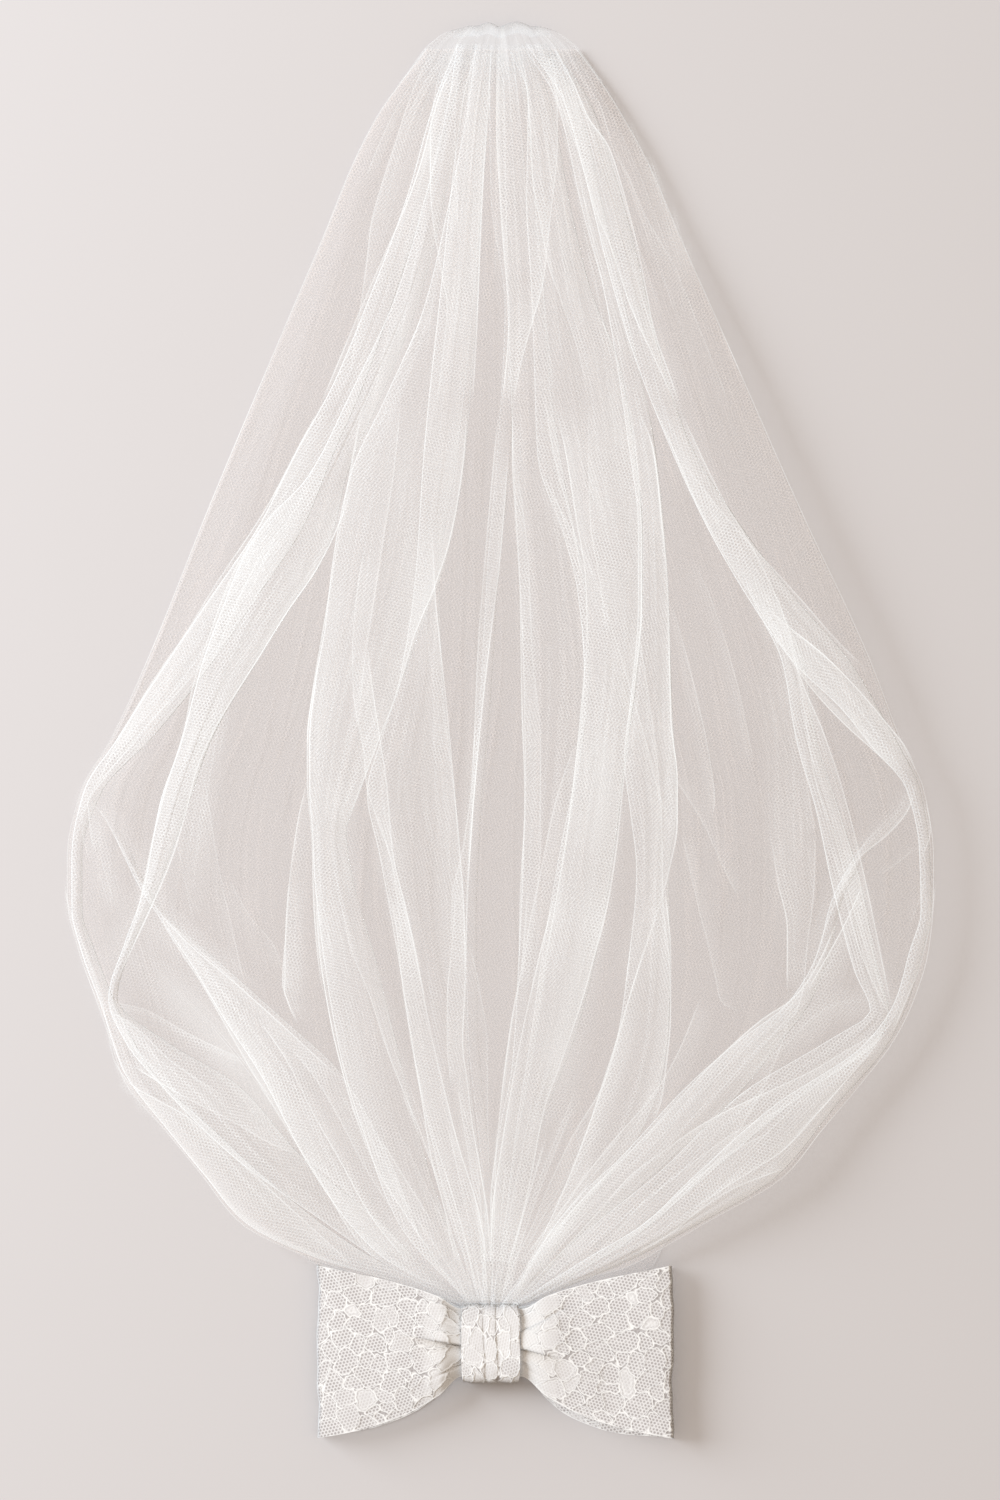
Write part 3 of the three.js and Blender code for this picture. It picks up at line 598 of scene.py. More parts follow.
def mix_node(tree, factor, first, second):
    """A colour that goes from the first to the second: each is a plain colour or another node's output."""
    node = tree.nodes.new("ShaderNodeMix")
    node.data_type = "RGBA"
    tree.links.new(factor, node.inputs["Factor"])
    for socket, value in (("A", first), ("B", second)):
        if isinstance(value, tuple):
            node.inputs[socket].default_value = (*value, 1)
        else:
            tree.links.new(value, node.inputs[socket])
    return node.outputs["Result"]


def map_in_mm(tree):
    node = tree.nodes.new("ShaderNodeUVMap")
    node.uv_map = "mm"
    return node.outputs[0]


def noise_node(tree, place, scale, detail):
    node = tree.nodes.new("ShaderNodeTexNoise")
    node.noise_dimensions = "2D"
    node.inputs["Scale"].default_value = scale
    node.inputs["Detail"].default_value = detail
    tree.links.new(place, node.inputs["Vector"])
    return node.outputs["Fac"]


# %% [markdown]
# ## The net
#
# Tulle and the ground of lace are both a net of six-sided holes.
# Three waves at sixty degrees to each other add up to such a honeycomb, at any size and with no picture.
# It is a group with one output, so both materials can use it with their own pitch.

# %% Honeycomb net
NET_TURN = 0.3  # the net lies a little askew on the cloth


def honeycomb_group(pitch):
    """1 on the threads of a honeycomb net of this pitch in mm, 0 in its holes."""
    takes = [("Map", "NodeSocketVector")]
    gives = [("Thread", "NodeSocketFloat")]
    group, start, end = node_group(f"honeycomb_{pitch}", takes, gives)
    split = group.nodes.new("ShaderNodeSeparateXYZ")
    group.links.new(start.outputs["Map"], split.inputs[0])
    rate = 4 * math.pi / (math.sqrt(3) * pitch)
    waves = []
    for k in range(3):
        angle = NET_TURN + k * 2 * math.pi / 3
        along = math_node(group, "MULTIPLY", split.outputs[0], rate * math.cos(angle))
        both = math_node(group, "MULTIPLY_ADD", split.outputs[1], rate * math.sin(angle), along)
        waves.append(math_node(group, "COSINE", both))
    total = math_node(group, "ADD", math_node(group, "ADD", waves[0], waves[1]), waves[2])
    group.links.new(ramp_node(group, total, 1.2, -1.1), end.inputs["Thread"])
    return group


def net_node(tree, place, pitch):
    node = tree.nodes.new("ShaderNodeGroup")
    node.node_tree = honeycomb_group(pitch)
    tree.links.new(place, node.inputs["Map"])
    return node.outputs["Thread"]


def levelled_normal(tree, flatness):
    """Threads turn every way, so a net takes the light almost as if it lay flat."""
    facing = tree.nodes.new("ShaderNodeNewGeometry")
    raised = tree.nodes.new("ShaderNodeVectorMath")
    raised.operation = "ADD"
    tree.links.new(facing.outputs["Normal"], raised.inputs[0])
    raised.inputs[1].default_value = (0, 0, flatness)
    level = tree.nodes.new("ShaderNodeVectorMath")
    level.operation = "NORMALIZE"
    tree.links.new(raised.outputs[0], level.inputs[0])
    return level.outputs[0]


# %% [markdown]
# ## Tulle
#
# Real tulle is a white net that is mostly holes, so its material is white with a low alpha.
# Threads lift the alpha and holes lower it.
# Fine tucks run along the cloth: thin lines where a stretched noise passes its middle value.
# Where the cloth is drawn up, the same noise streaks it.

# %% Tulle material
TULLE_WHITE = (0.945, 0.969, 0.988)
# Tint painted on the panel for warm light off the surface under it.
TULLE_PAINTED_WARM_LIGHT = (0.965, 0.885, 0.85)
NET_PITCH = 2.2
THREAD_RANGE = 2.0
THREAD_MIDDLE = 1.12
GRAIN_SCALE = 0.6
TUCKS_ACROSS = 0.055
TUCKS_ALONG = 0.0024
TUCK_WIDTH = 0.035
STREAKS = 0.15
FINE_LINES = 0.9
FLATNESS = 5.0
DENSEST = 0.96


def tuck_noise(tree, place):
    """A noise that is stretched out along the cloth."""
    split = tree.nodes.new("ShaderNodeSeparateXYZ")
    tree.links.new(place, split.inputs[0])
    lay = tree.nodes.new("ShaderNodeCombineXYZ")
    strand = attribute(tree, "strand")
    tree.links.new(math_node(tree, "MULTIPLY", strand, TUCKS_ACROSS), lay.inputs[0])
    tree.links.new(math_node(tree, "MULTIPLY", split.outputs[1], TUCKS_ALONG), lay.inputs[1])
    return noise_node(tree, lay.outputs[0], 1.0, 1.0)


def tulle_material():
    material, tree, shader = new_material("soft_tulle")
    cover = attribute(tree, "cover")
    gather = attribute(tree, "gather")
    shade = attribute(tree, "shade")
    place = map_in_mm(tree)
    tucks = tuck_noise(tree, place)
    streaks = ramp_node(tree, tucks, 0.3, 0.7, -1.0, 1.0)
    off_line = math_node(tree, "ABSOLUTE", math_node(tree, "SUBTRACT", tucks, 0.5))
    loose = math_node(tree, "MULTIPLY_ADD", gather, -0.7, 1.0)
    lines = math_node(tree, "MULTIPLY", ramp_node(tree, off_line, 0.0, TUCK_WIDTH, FINE_LINES, 0.0), loose)
    tucked = math_node(tree, "ADD", lines, 1.0)
    drawn = math_node(tree, "MULTIPLY_ADD", math_node(tree, "MULTIPLY", streaks, gather), STREAKS, tucked)
    net = net_node(tree, place, NET_PITCH)
    threads = math_node(tree, "MULTIPLY_ADD", net, THREAD_RANGE, -THREAD_MIDDLE)
    uneven = ramp_node(tree, noise_node(tree, place, GRAIN_SCALE, 0.0), 0.25, 0.75, 0.4, 1.6)
    # Threads show one by one in a single layer, and run together where layers pile up.
    single = ramp_node(tree, cover, 0.09, 0.19, 1.0, 0.06)
    woven = math_node(tree, "MULTIPLY_ADD", math_node(tree, "MULTIPLY", threads, uneven), single, 1.0)
    alpha = math_node(tree, "MULTIPLY", math_node(tree, "MULTIPLY", cover, drawn), woven, clamp=True)
    # Low light meets more threads of a flat net than the eye does, and scatters on through a fold.
    path = tree.nodes.new("ShaderNodeLightPath")
    change = math_node(tree, "SUBTRACT", shade, 1.0)
    share = math_node(tree, "MULTIPLY_ADD", path.outputs["Is Shadow Ray"], change, 1.0)
    seen = math_node(tree, "MULTIPLY", math_node(tree, "MINIMUM", alpha, DENSEST), share, clamp=True)
    tree.links.new(seen, shader.inputs["Alpha"])
    tree.links.new(levelled_normal(tree, FLATNESS), shader.inputs["Normal"])
    # Painted light: the single panel is tinted warm, standing in for the warm light that comes up to the
    # net off the surface under it. Its edges and the folds keep the white of the thread.
    thin = ramp_node(tree, cover, 0.12, 0.3, 1.0, 0.0)
    painted_warm_light = math_node(tree, "MULTIPLY", ramp_node(tree, shade, 0.3, 1.0), thin)
    tree.links.new(mix_node(tree, painted_warm_light, TULLE_WHITE, TULLE_PAINTED_WARM_LIGHT), shader.inputs["Base Color"])
    shader.inputs["Roughness"].default_value = 0.85
    shader.inputs["Specular IOR Level"].default_value = 0.0
    return material


tulle = tulle_material()
print("Material:", tulle.name)

# %% [markdown]
# ## The panel
#
# The back half of the panel lies on the surface and the front half springs up off it.
# Near the two gathers the same cloth is drawn into less width, so its cover rises there.


# %% Cover of the tulle
SHEET_COVER = 0.058
WIDE_SHEET = 520.0
NARROWING = 0.42
MOST_NARROWED = 1.8
BOW_COVER = 0.09
BOW_COVER_FADES = 25.0
HEADER_DEPTH = 20.0
TOP_GATHER = 0.6
TOP_GATHER_FADES = 110.0
BOW_GATHER_FADES = 90.0
LEAST_GATHER = 0.06
EDGE_LINE_WIDTH = 0.45
EDGE_BAND = 0.08
EDGE_BAND_WIDTH = 6.0
EDGE_STEPS = np.array([0.0, 0.3, 0.6, 1.0, 1.8, 3.4, 6.5])


def gather_at(drop):
    """1 where the cloth is drawn up hard, falling to a little in the middle of the veil."""
    top = TOP_GATHER * np.exp(-np.maximum(drop - HEADER_DEPTH, 0) / TOP_GATHER_FADES)
    bow = np.exp(-np.maximum(TULLE_END - drop, 0) / BOW_GATHER_FADES)
    return np.clip(LEAST_GATHER + np.maximum(top, bow), 0, 1)


def width_cover(drop):
    """Cover of one layer: it grows as the outline narrows."""
    width = outline_right(drop) - outline_left(drop)
    at_bow = BOW_COVER * np.exp(-(TULLE_END - drop) / BOW_COVER_FADES)
    return SHEET_COVER * np.clip((WIDE_SHEET / width) ** NARROWING, 1, MOST_NARROWED) + at_bow


def clustered(width, inner):
    """Shares of each width from 0 to 1: a few at set distances from each edge and the rest between."""
    near = np.minimum(EDGE_STEPS / np.maximum(width, 1e-6), 0.48 * EDGE_STEPS / EDGE_STEPS[-1])
    middle = np.linspace(0, 1, inner + 2)[1:-1]
    between = near[:, -1:] + (1 - 2 * near[:, -1:]) * middle
    return np.concatenate([near, between, 1 - near[:, ::-1]], axis=1)


def edge_line(distance, strength):
    """Extra cover along a folded or cut edge: a fine line and a soft band inside it."""
    line = np.exp(-((distance / EDGE_LINE_WIDTH) ** 2))
    band = EDGE_BAND * np.exp(-distance / EDGE_BAND_WIDTH)
    return strength * (line + band)


def stations(low, high, step):
    return np.linspace(low, high, int(math.ceil((high - low) / step)) + 1)


def turned(x, drop, turn):
    """Where places on the veil lie on a net that is turned by a small angle, in mm."""
    y = TOP_Y - drop
    across = x * math.cos(turn) - y * math.sin(turn)
    along = x * math.sin(turn) + y * math.cos(turn)
    return np.stack(np.broadcast_arrays(across, along), -1)


print("Cover of one layer half way down:", float(width_cover(half_way).round(3)))

# %% Back and front of the panel
PANEL_STEP = 5.5
PANEL_COLUMNS = 90
PANEL_RIPPLE = 1.1
PANEL_PATCHES = 0.16
PANEL_STRANDS = 620
PANEL_SHADE = 1.95
FAR_SIDE_SHADE = 2.8  # the side away from the light is met at a slant
FAR_SIDE_DEPTH = 45.0  # how far in from the edge that goes
FAR_SIDE_AT_BOW = 20.0
LEFT_SIDE_SHARE = 0.5


def far_side_shade(drop, share, width):
    """More shade along the right side, and low down along the left side too."""
    low_down = (1 + 1.3 * smoothstep(560, 700, drop)) * smoothstep(828, 795, drop)
    depth = FAR_SIDE_DEPTH - (FAR_SIDE_DEPTH - FAR_SIDE_AT_BOW) * smoothstep(740, 800, drop)
    right_side = np.exp(-(1 - share) * width / depth)
    left_side = LEFT_SIDE_SHARE * np.exp(-share * width / depth) * smoothstep(650, 730, drop)
    return FAR_SIDE_SHADE * low_down * (right_side + left_side)


def panel(name, rows, node, wall_z, lift, turn, edge_strength, seed):
    """One half of the panel: lift is 0 where it lies flat and 1 where it springs up."""
    left = column(rows, 1)
    right = column(rows, 2)
    drop = stations(rows[0][0], rows[-1][0], PANEL_STEP)[:, None]
    width = right(drop) - left(drop)
    share = clustered(width, PANEL_COLUMNS)
    x = left(drop) + width * share
    ripple = wander(share * 900 + 0 * drop, seed, 6, 300) * PANEL_RIPPLE * gather_at(drop)
    z = wall_z + lift * (loft(x, drop) + np.clip(ripple + 0.8, 0, 2))
    distance = np.minimum(share, 1 - share) * width
    cover = width_cover(drop) + edge_line(distance, edge_strength)
    cover = cover * (1 + PANEL_PATCHES * wander(x + 0.25 * drop, seed + 1, 5, 260))
    points = np.stack(np.broadcast_arrays(x, TOP_Y - drop, z), -1)
    strand = share * PANEL_STRANDS + seed * 100
    shade = PANEL_SHADE * SHEET_COVER / width_cover(drop) + lift * far_side_shade(drop, share, width)
    grids = Grids()
    uv = turned(x, drop, turn)
    grids.add(points, uv, cover=cover, strand=strand, gather=gather_at(drop), shade=shade)
    piece = grids.piece(name, tulle)
    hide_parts(node)
    return piece


panel(
    "tulle_back_sheet", OUTLINE + BACK_END, "tulle_back",
    wall_z=0.4, lift=0.0, turn=0.03, edge_strength=0.18, seed=3,
)
panel(
    "tulle_front_sheet", OUTLINE + FRONT_END, "tulle_front",
    wall_z=2.0, lift=1.0, turn=-0.04, edge_strength=0.46, seed=7,
)

# %% [markdown]
# ## The large folds
#
# A fold is tulle lying double: an upper and a lower layer that turn into each other at both edges.
# Along those edges the eye looks through more net, so a fine bright line runs there.


# %% Folds
FOLD_COVER = 0.078
FOLD_EDGE = 0.56
FOLD_STEP = 6.0
FOLD_COLUMNS = 14
FOLD_LIFT = 0.6
FOLD_OPEN = 0.45
FOLD_PLEAT = 0.5
FOLD_CROWN = 1.4
FOLD_CROWN_SHARE = 0.05
FOLD_PATCHES = 0.22
FOLD_IN_MIDDLE = 0.36  # share of the cover that a fold in the middle keeps
FOLD_AT_SIDES = 1.14  # and what it gains on the way to the sides
FOLD_STARTS = 45.0  # the length in which a fold that begins lower down comes up
FOLD_AT_BOW = 40.0  # the length above the bow in which a fold grows denser
FOLD_AT_TOP = 110.0  # and that below the header in which it is thinner


def fold(name, level, rows, seed):
    """One large fold, at the lower level (1) or the upper one (2)."""
    left = column(rows, 1)
    right = column(rows, 2)
    drop = stations(rows[0][0], rows[-1][0], FOLD_STEP)[:, None]
    width = right(drop) - left(drop)
    upper = clustered(width, FOLD_COLUMNS)
    share = np.concatenate([upper, upper[:, -2::-1]], axis=1)
    side = np.concatenate([np.ones(upper.shape[1]), -np.ones(upper.shape[1] - 1)])[None, :]
    x = left(drop) + width * share
    crown = (FOLD_CROWN + (FOLD_CROWN_SHARE * width if level == 2 else 0)) * np.sin(np.pi * share)
    pleat = FOLD_PLEAT * wander(share * 300 + 0 * drop, seed, 4, 100) * np.sin(np.pi * share)
    open_by = FOLD_OPEN * np.sin(np.pi * share) ** 0.5
    z = LEVEL_Z[level] + FOLD_LIFT + loft(x, drop) + crown + pleat + side * open_by
    distance = np.minimum(share, 1 - share) * width
    broad = 0.55 + 0.45 * smoothstep(5, 24, width)
    patchy = 1 + FOLD_PATCHES * wander(share * 200 + 0.3 * drop, seed + 5, 4, 260)
    at_bow = np.exp(-np.maximum(TULLE_END - drop, 0) / FOLD_AT_BOW)
    drawn = 1 + 1.0 * at_bow - 0.54 * np.exp(-drop / FOLD_AT_TOP)
    cover = FOLD_COVER * patchy * drawn + edge_line(distance, FOLD_EDGE)
    cover = broad * cover * (FOLD_IN_MIDDLE + FOLD_AT_SIDES * np.abs(fan(x, drop)))
    starts = smoothstep(0, FOLD_STARTS, drop - rows[0][0]) if rows[0][0] > 100 else 1.0
    cover = cover * starts
    points = np.stack(np.broadcast_arrays(x, TOP_Y - drop, z), -1)
    strand = share * 2.0 * width.max() + seed * 170
    grids = Grids()
    uv = turned(x, drop, 0.05 * math.sin(seed * 1.7))
    grids.add(points, uv, cover=cover, strand=strand, gather=gather_at(drop), shade=0)
    piece = grids.piece(name + "_sheet", tulle)
    for_camera_only(piece)
    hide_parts(name)
    return piece


for number, (name, level, rows) in enumerate(FOLDS):
    fold(name, level, rows, 11 + 3 * number)

# %% [markdown]
# ## Creases
#
# Finer folds show as a crisp line with a soft band on one side.
# Each is a narrow ribbon of tulle that is dense along its line and fades out across.
# Where the cloth only swells, the ribbon has no line and fades out to both sides.


# %% Creases
CREASE_COVER = 0.7
CREASE_LIFT = 3.2
CREASE_STAGGER = 0.05  # one crease lies a little above the one before it
STAGGER_MOST = 1.5
CREASE_STEP = 5.0
CREASE_TAPER = 0.1
WASH_TAPER = 0.3
TOP_GATHERED = 60.0
BOW_GATHERED = 770.0
LEAST_AT_GATHER = 0.6  # a crease does not die away at a gather
CREASE_UNEVEN = 0.3
CREASE_SINKS = 3.0  # towards the header, where the panel lies low
LINE_OFFSETS = np.array([-0.55, -0.25, 0.0, 0.3, 0.7])
LINE_COVER = np.array([0.0, 0.75, 1.0, 0.7, 0.28])
BAND_SHARES = np.array([0.12, 0.4, 0.7, 1.0])
BAND_COVER = np.array([0.22, 0.15, 0.07, 0.0])
WASH_SHARES = np.linspace(-1, 1, 9)
WASH_COVER = np.cos(WASH_SHARES * math.pi / 2) ** 2


def along_line(line, step):
    """Evenly spaced places on a smooth curve through the points of a line."""
    line = np.asarray(line, float)
    chord = np.concatenate([[0], np.cumsum(np.hypot(*np.diff(line, axis=0).T))])
    fine = np.linspace(0, chord[-1], max(int(chord[-1] / step), 4) + 1)
    rows = [(c, *p) for c, p in zip(chord, line)]
    return fine, column(rows, 1)(fine), column(rows, 2)(fine)


def crease(grids, side, strength, reach, line, seed):
    """Adds the ribbon of one crease, which keeps inside the outline."""
    s, x, drop = along_line(line, CREASE_STEP)
    tangent = np.stack([np.gradient(x), np.gradient(drop)], -1)
    tangent /= np.linalg.norm(tangent, axis=1)[:, None]
    normal = np.stack([tangent[:, 1], -tangent[:, 0]], -1)
    wanted = 1 if side == "R" else -1
    if np.sum(normal[:, 0]) * wanted < 0:
        normal = -normal
    if side == "both":
        offset = reach * WASH_SHARES
        body = WASH_COVER
    else:
        offset = np.concatenate([LINE_OFFSETS, 1.0 + BAND_SHARES * reach])
        body = np.concatenate([LINE_COVER, BAND_COVER])
    taper = WASH_TAPER if side == "both" else CREASE_TAPER
    ends = smoothstep(0, taper, s / s[-1]) * smoothstep(0, taper, 1 - s / s[-1])
    at_gather = (drop < TOP_GATHERED) | (drop > BOW_GATHERED)
    ends = np.where(at_gather, np.maximum(ends, LEAST_AT_GATHER), ends)
    px = x[:, None] + normal[:, :1] * offset[None, :]
    pd = drop[:, None] + normal[:, 1:] * offset[None, :]
    z = LEVEL_Z[2] + CREASE_LIFT + (CREASE_STAGGER * seed) % STAGGER_MOST + loft(px, pd)
    z = z - CREASE_SINKS * smoothstep(60, 14, pd)
    uneven = 1 + CREASE_UNEVEN * wander(s, seed, 4, 190)[:, None]
    inside = np.minimum(px - outline_left(pd), outline_right(pd) - px)
    cover = strength * CREASE_COVER * body[None, :] * ends[:, None] * uneven
    cover = cover * smoothstep(-1.5, 0.5, inside)
    points = np.stack([px, TOP_Y - pd, z], -1)
    strand = offset[None, :] * 3 + 31 * seed + 0 * px
    uv = np.stack([px, TOP_Y - pd], -1)
    grids.add(points, uv, cover=cover, strand=strand, gather=gather_at(pd), shade=0)


creases = Grids()
for number, (side, strength, reach, line) in enumerate(CREASES):
    crease(creases, side, strength, reach, line, 40 + number)
small_folds = creases.piece("tulle_small_folds", tulle)
for_camera_only(small_folds)

# %% [markdown]
# ## Gathering pleats
#
# Where the cloth is drawn up, at the header and at the bow, fine pleats fan out of the gather.
# They keep their share of the width for a while and then die away, some sooner than others.


# %% Gathering pleats
PLEAT_SPREAD = 0.94
TOP_PLEATS = 30
TOP_PLEAT_START = 20.0
BOW_PLEATS = 26
BOW_GATHER = 17.0  # half the width of the gather behind the knot


def pleat_line(share, from_drop, to_drop):
    """Places down the cloth that keep their share of its width."""
    drops = np.linspace(from_drop, to_drop, 7)
    left = outline_left(drops)
    right = outline_right(drops)
    middle = np.where(drops > 600, BOW_X, 0)
    half = np.where(share < 0, middle - left, right - middle)
    return list(zip(middle + share * half * PLEAT_SPREAD, drops))


pleats = Grids()
dice = np.random.default_rng(31)
for number in range(TOP_PLEATS):
    share = (2 * (number + dice.uniform(0.2, 0.8)) / TOP_PLEATS - 1) * 0.97
    length = dice.uniform(70, 260)
    line = pleat_line(share, TOP_PLEAT_START, TOP_PLEAT_START + length)
    crease(pleats, "RL"[number % 2], dice.uniform(0.14, 0.34), dice.uniform(4, 9), line, 300 + number)
for number in range(BOW_PLEATS):
    share = 2 * (number + dice.uniform(0.2, 0.8)) / BOW_PLEATS - 1
    length = dice.uniform(50, 150)
    wide = share * dice.uniform(40, 62)
    foot = BOW_X + BOW_GATHER * share
    line = [(foot, TULLE_END - 4)]
    line.append((foot + 0.3 * wide, TULLE_END - 0.3 * length - 4))
    line.append((foot + wide * (0.5 + length / 150), TULLE_END - length))
    crease(pleats, "RL"[number % 2], dice.uniform(0.25, 0.55), dice.uniform(4, 8), line, 400 + number)
gathering = pleats.piece("tulle_gathering_pleats", tulle)
for_camera_only(gathering)

# %% [markdown]
# ## The header
#
# The top edge is drawn up on a thread and rolled over to the front.
# Its puffs are uneven, as gathers are, and it widens into round shoulders that run on into the sides.

# %% Header
HEADER_SIDE = [
    (0, 31), (2.6, 32), (5.4, 35.5), (9.8, 41.5), (15.6, 48.5), (24, 55), (34, 62), (44, 69.5), (57, 78),
]  # drop and half width
HEADER_PUFFS = [(-20, 9, 1.0), (-8, 7, 2.6), (11, 11, 3.0), (27, 8, 1.4)]  # place, half width and height
HEADER_X = 1.0
HEADER_HALF = 32.0
HEADER_HEM = 56.0
HEADER_TOP = 2.2
HEADER_SAG = 2.4
ROLL_RADIUS = 6.6
ROLL_THINS = 2.4  # how much smaller the roll is at its ends
ROLL_Z = 0.3
HEADER_COVER = 0.22
HEADER_EDGE = 0.35
header_half = column(HEADER_SIDE, 1)


def header():
    """The roll of the top edge, from underneath it over the top and down the front to its hem."""
    share = np.linspace(0, 1, 260)[None, :]
    across = 2 * share - 1
    top_x = HEADER_X + HEADER_HALF * across
    top_drop = HEADER_TOP + HEADER_SAG * np.abs(across) ** 3
    for x, half, height in HEADER_PUFFS:
        top_drop = top_drop - height * np.clip(1 - ((top_x - x) / half) ** 2, 0, 1) ** 1.5
    radius = ROLL_RADIUS - ROLL_THINS * across**2
    turns = np.linspace(-math.pi / 2, math.pi / 2, 14)[:, None]
    drop_turn = top_drop + radius * (1 - np.cos(turns))
    z_turn = ROLL_Z + radius * (1 + np.sin(turns))
    down = np.linspace(0, 1, 22)[1:, None]
    drop_front = top_drop + radius + (HEADER_HEM - top_drop - radius) * down
    z_front = np.broadcast_to(ROLL_Z + 2 * radius, drop_front.shape)
    drop = np.concatenate([drop_turn, drop_front])
    turned_over = np.broadcast_to(smoothstep(-0.4, 1.2, turns), drop_turn.shape)
    front = np.concatenate([turned_over, np.ones_like(drop_front)])
    uneven = share + 0.02 * wander(share * 100, 5, 6, 60)
    wave = np.sin(2 * np.pi * 12 * uneven) + 0.5 * np.sin(2 * np.pi * 27 * uneven + 1.1)
    z = np.concatenate([z_turn, z_front]) + 0.2 * front * wave * smoothstep(3, 14, drop)
    half = header_half(drop)
    half = np.where(front < 1, HEADER_HALF + (half - HEADER_HALF) * front, half)
    x = HEADER_X + across * half
    hem = 22 + 9 * wander(share * 100, 9, 6, 40)
    cover = HEADER_COVER * (1 - smoothstep(hem - 8, hem + 22, drop))
    cover = cover * (1 + 0.06 * wave * smoothstep(4, 20, drop))
    side = np.minimum(share, 1 - share) * 2 * header_half(drop)
    at_side = front * edge_line(side, HEADER_EDGE) * (drop < 40)
    cover = cover * (0.45 + 0.55 * smoothstep(0, 16, side)) + at_side
    points = np.stack([x, TOP_Y - drop, z], -1)
    grids = Grids()
    strand = np.broadcast_to(share * 180, x.shape)
    cover = np.clip(cover, 0, 1)
    grids.add(points, points[..., :2], cover=cover, strand=strand, gather=0.2, shade=0.15)
    piece = grids.piece("tulle_header_roll", tulle)
    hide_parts("tulle_header")
    return piece


header()

# %% [markdown]
# ## Lace
#
# The lace is a fine net covered with rounded petals, each with a raised cord round it.
# Petals of mixed sizes are scattered so that none overlap.
# Each place on the cloth belongs to one of them.
# The cord runs where two petals are equally near.
# Blending the distances to the next few petals rounds the corners and leaves small open gaps between three.


# %% Lace pattern
PETAL_SIZES = [14.0, 11.5, 9.0, 7.0, 5.2]
PETALS_TRIED = 0.03  # for each size and square mm
PETAL_SWELL = 0.6
CORNER = 1.2
CORD_HEIGHT = 0.3


def scatter(low, high, dice):
    """Petals as rows of place and size: the large ones first, then smaller ones in the room between."""
    tries = int((high[0] - low[0]) * (high[1] - low[1]) * PETALS_TRIED)
    kept = []
    for size in PETAL_SIZES:
        for _ in range(tries):
            p = dice.uniform(low, high)
            if all(math.hypot(p[0] - q[0], p[1] - q[1]) > 0.5 * (size + q[2]) for q in kept):
                kept.append((p[0], p[1], size * dice.uniform(0.85, 1.1)))
    return np.array(kept)


def petals(s, y, seed):
    """How far inside its petal's cord each place on the cloth is, in mm, and its petal's own number."""
    dice = np.random.default_rng(seed)
    # A waver in the cloth's own places keeps the cords from running straight.
    wavy_s = s + 0.8 * np.sin(0.45 * y + seed) + 0.35 * np.sin(1.3 * y)
    wavy_y = y + 0.8 * np.sin(0.41 * s + 2 * seed) + 0.35 * np.sin(1.25 * s)
    low = (wavy_s.min() - 8, wavy_y.min() - 8)
    high = (wavy_s.max() + 8, wavy_y.max() + 8)
    made = scatter(low, high, dice)
    turn = dice.uniform(0, math.pi, len(made))
    stretch = dice.uniform(1.0, 1.5, len(made))
    tone = dice.uniform(0, 1, len(made))
    from_s = wavy_s.reshape(-1, 1) - made[:, 0]
    from_y = wavy_y.reshape(-1, 1) - made[:, 1]
    along = (from_s * np.cos(turn) + from_y * np.sin(turn)) / stretch
    over = (from_y * np.cos(turn) - from_s * np.sin(turn)) * stretch
    away = along**2 + over**2 - PETAL_SWELL * (0.5 * made[:, 2]) ** 2
    near = np.argpartition(away, 4, axis=1)[:, :5]
    order = np.argsort(np.take_along_axis(away, near, 1), axis=1)
    near = np.take_along_axis(near, order, 1)
    away = np.take_along_axis(away, near, 1)
    own = near[:, 0]
    blend = np.zeros(len(own))
    for k in range(1, 5):
        gap = np.hypot(*(made[near[:, k], :2] - made[own, :2]).T)
        blend += np.exp(-(away[:, k] - away[:, 0]) / (2 * gap * CORNER))
    border = -CORNER * np.log(blend)
    return border.reshape(s.shape), tone[own].reshape(s.shape)


def lace_numbers(s, y, shade, seed):
    """What the lace material reads: border and tone of the petals in front, border of those behind."""
    border, tone = petals(s, y, seed)
    behind, _ = petals(0.8 * s + 3, 0.8 * y - 2, seed + 50)
    return {"border": border, "tone": tone, "behind": behind, "shade": shade + 0 * border}


def cord_height(numbers):
    """How far the cord stands up off the net, in mm."""
    return CORD_HEIGHT * (1 - smoothstep(0.25, 0.75, np.abs(numbers["border"])))


# %% [markdown]
# ## Lace material
#
# The cord is drawn from its distance, so it stays crisp however close one looks.
# Some petals are worked solid, with a second ring inside, and the rest show the net.
# The layer underneath shows faintly through.


# %% Lace material
LACE_CORD = (0.985, 0.985, 0.99)
LACE_THREAD = (0.90, 0.89, 0.90)
LACE_HOLE = (0.45, 0.42, 0.42)
# Colour painted into the deep pleats beside the knot as shade.
LACE_PAINTED_SHADE = (0.60, 0.53, 0.45)
LACE_NET_PITCH = 2.3
SOLID_FROM = 0.72  # petals with a higher tone than this are worked solid
SOLID_FILL = 0.72
RING_INSIDE = 1.5
# How far that painted shade goes towards its colour.
PAINTED_SHADE_STRENGTH = 0.6
LACE_FLATNESS = 20.0


def line_node(tree, distance, place, inner, outer, strength):
    """A soft-edged line where a distance passes a place."""
    away = math_node(tree, "ABSOLUTE", math_node(tree, "SUBTRACT", distance, place))
    return ramp_node(tree, away, inner, outer, strength, 0.0)


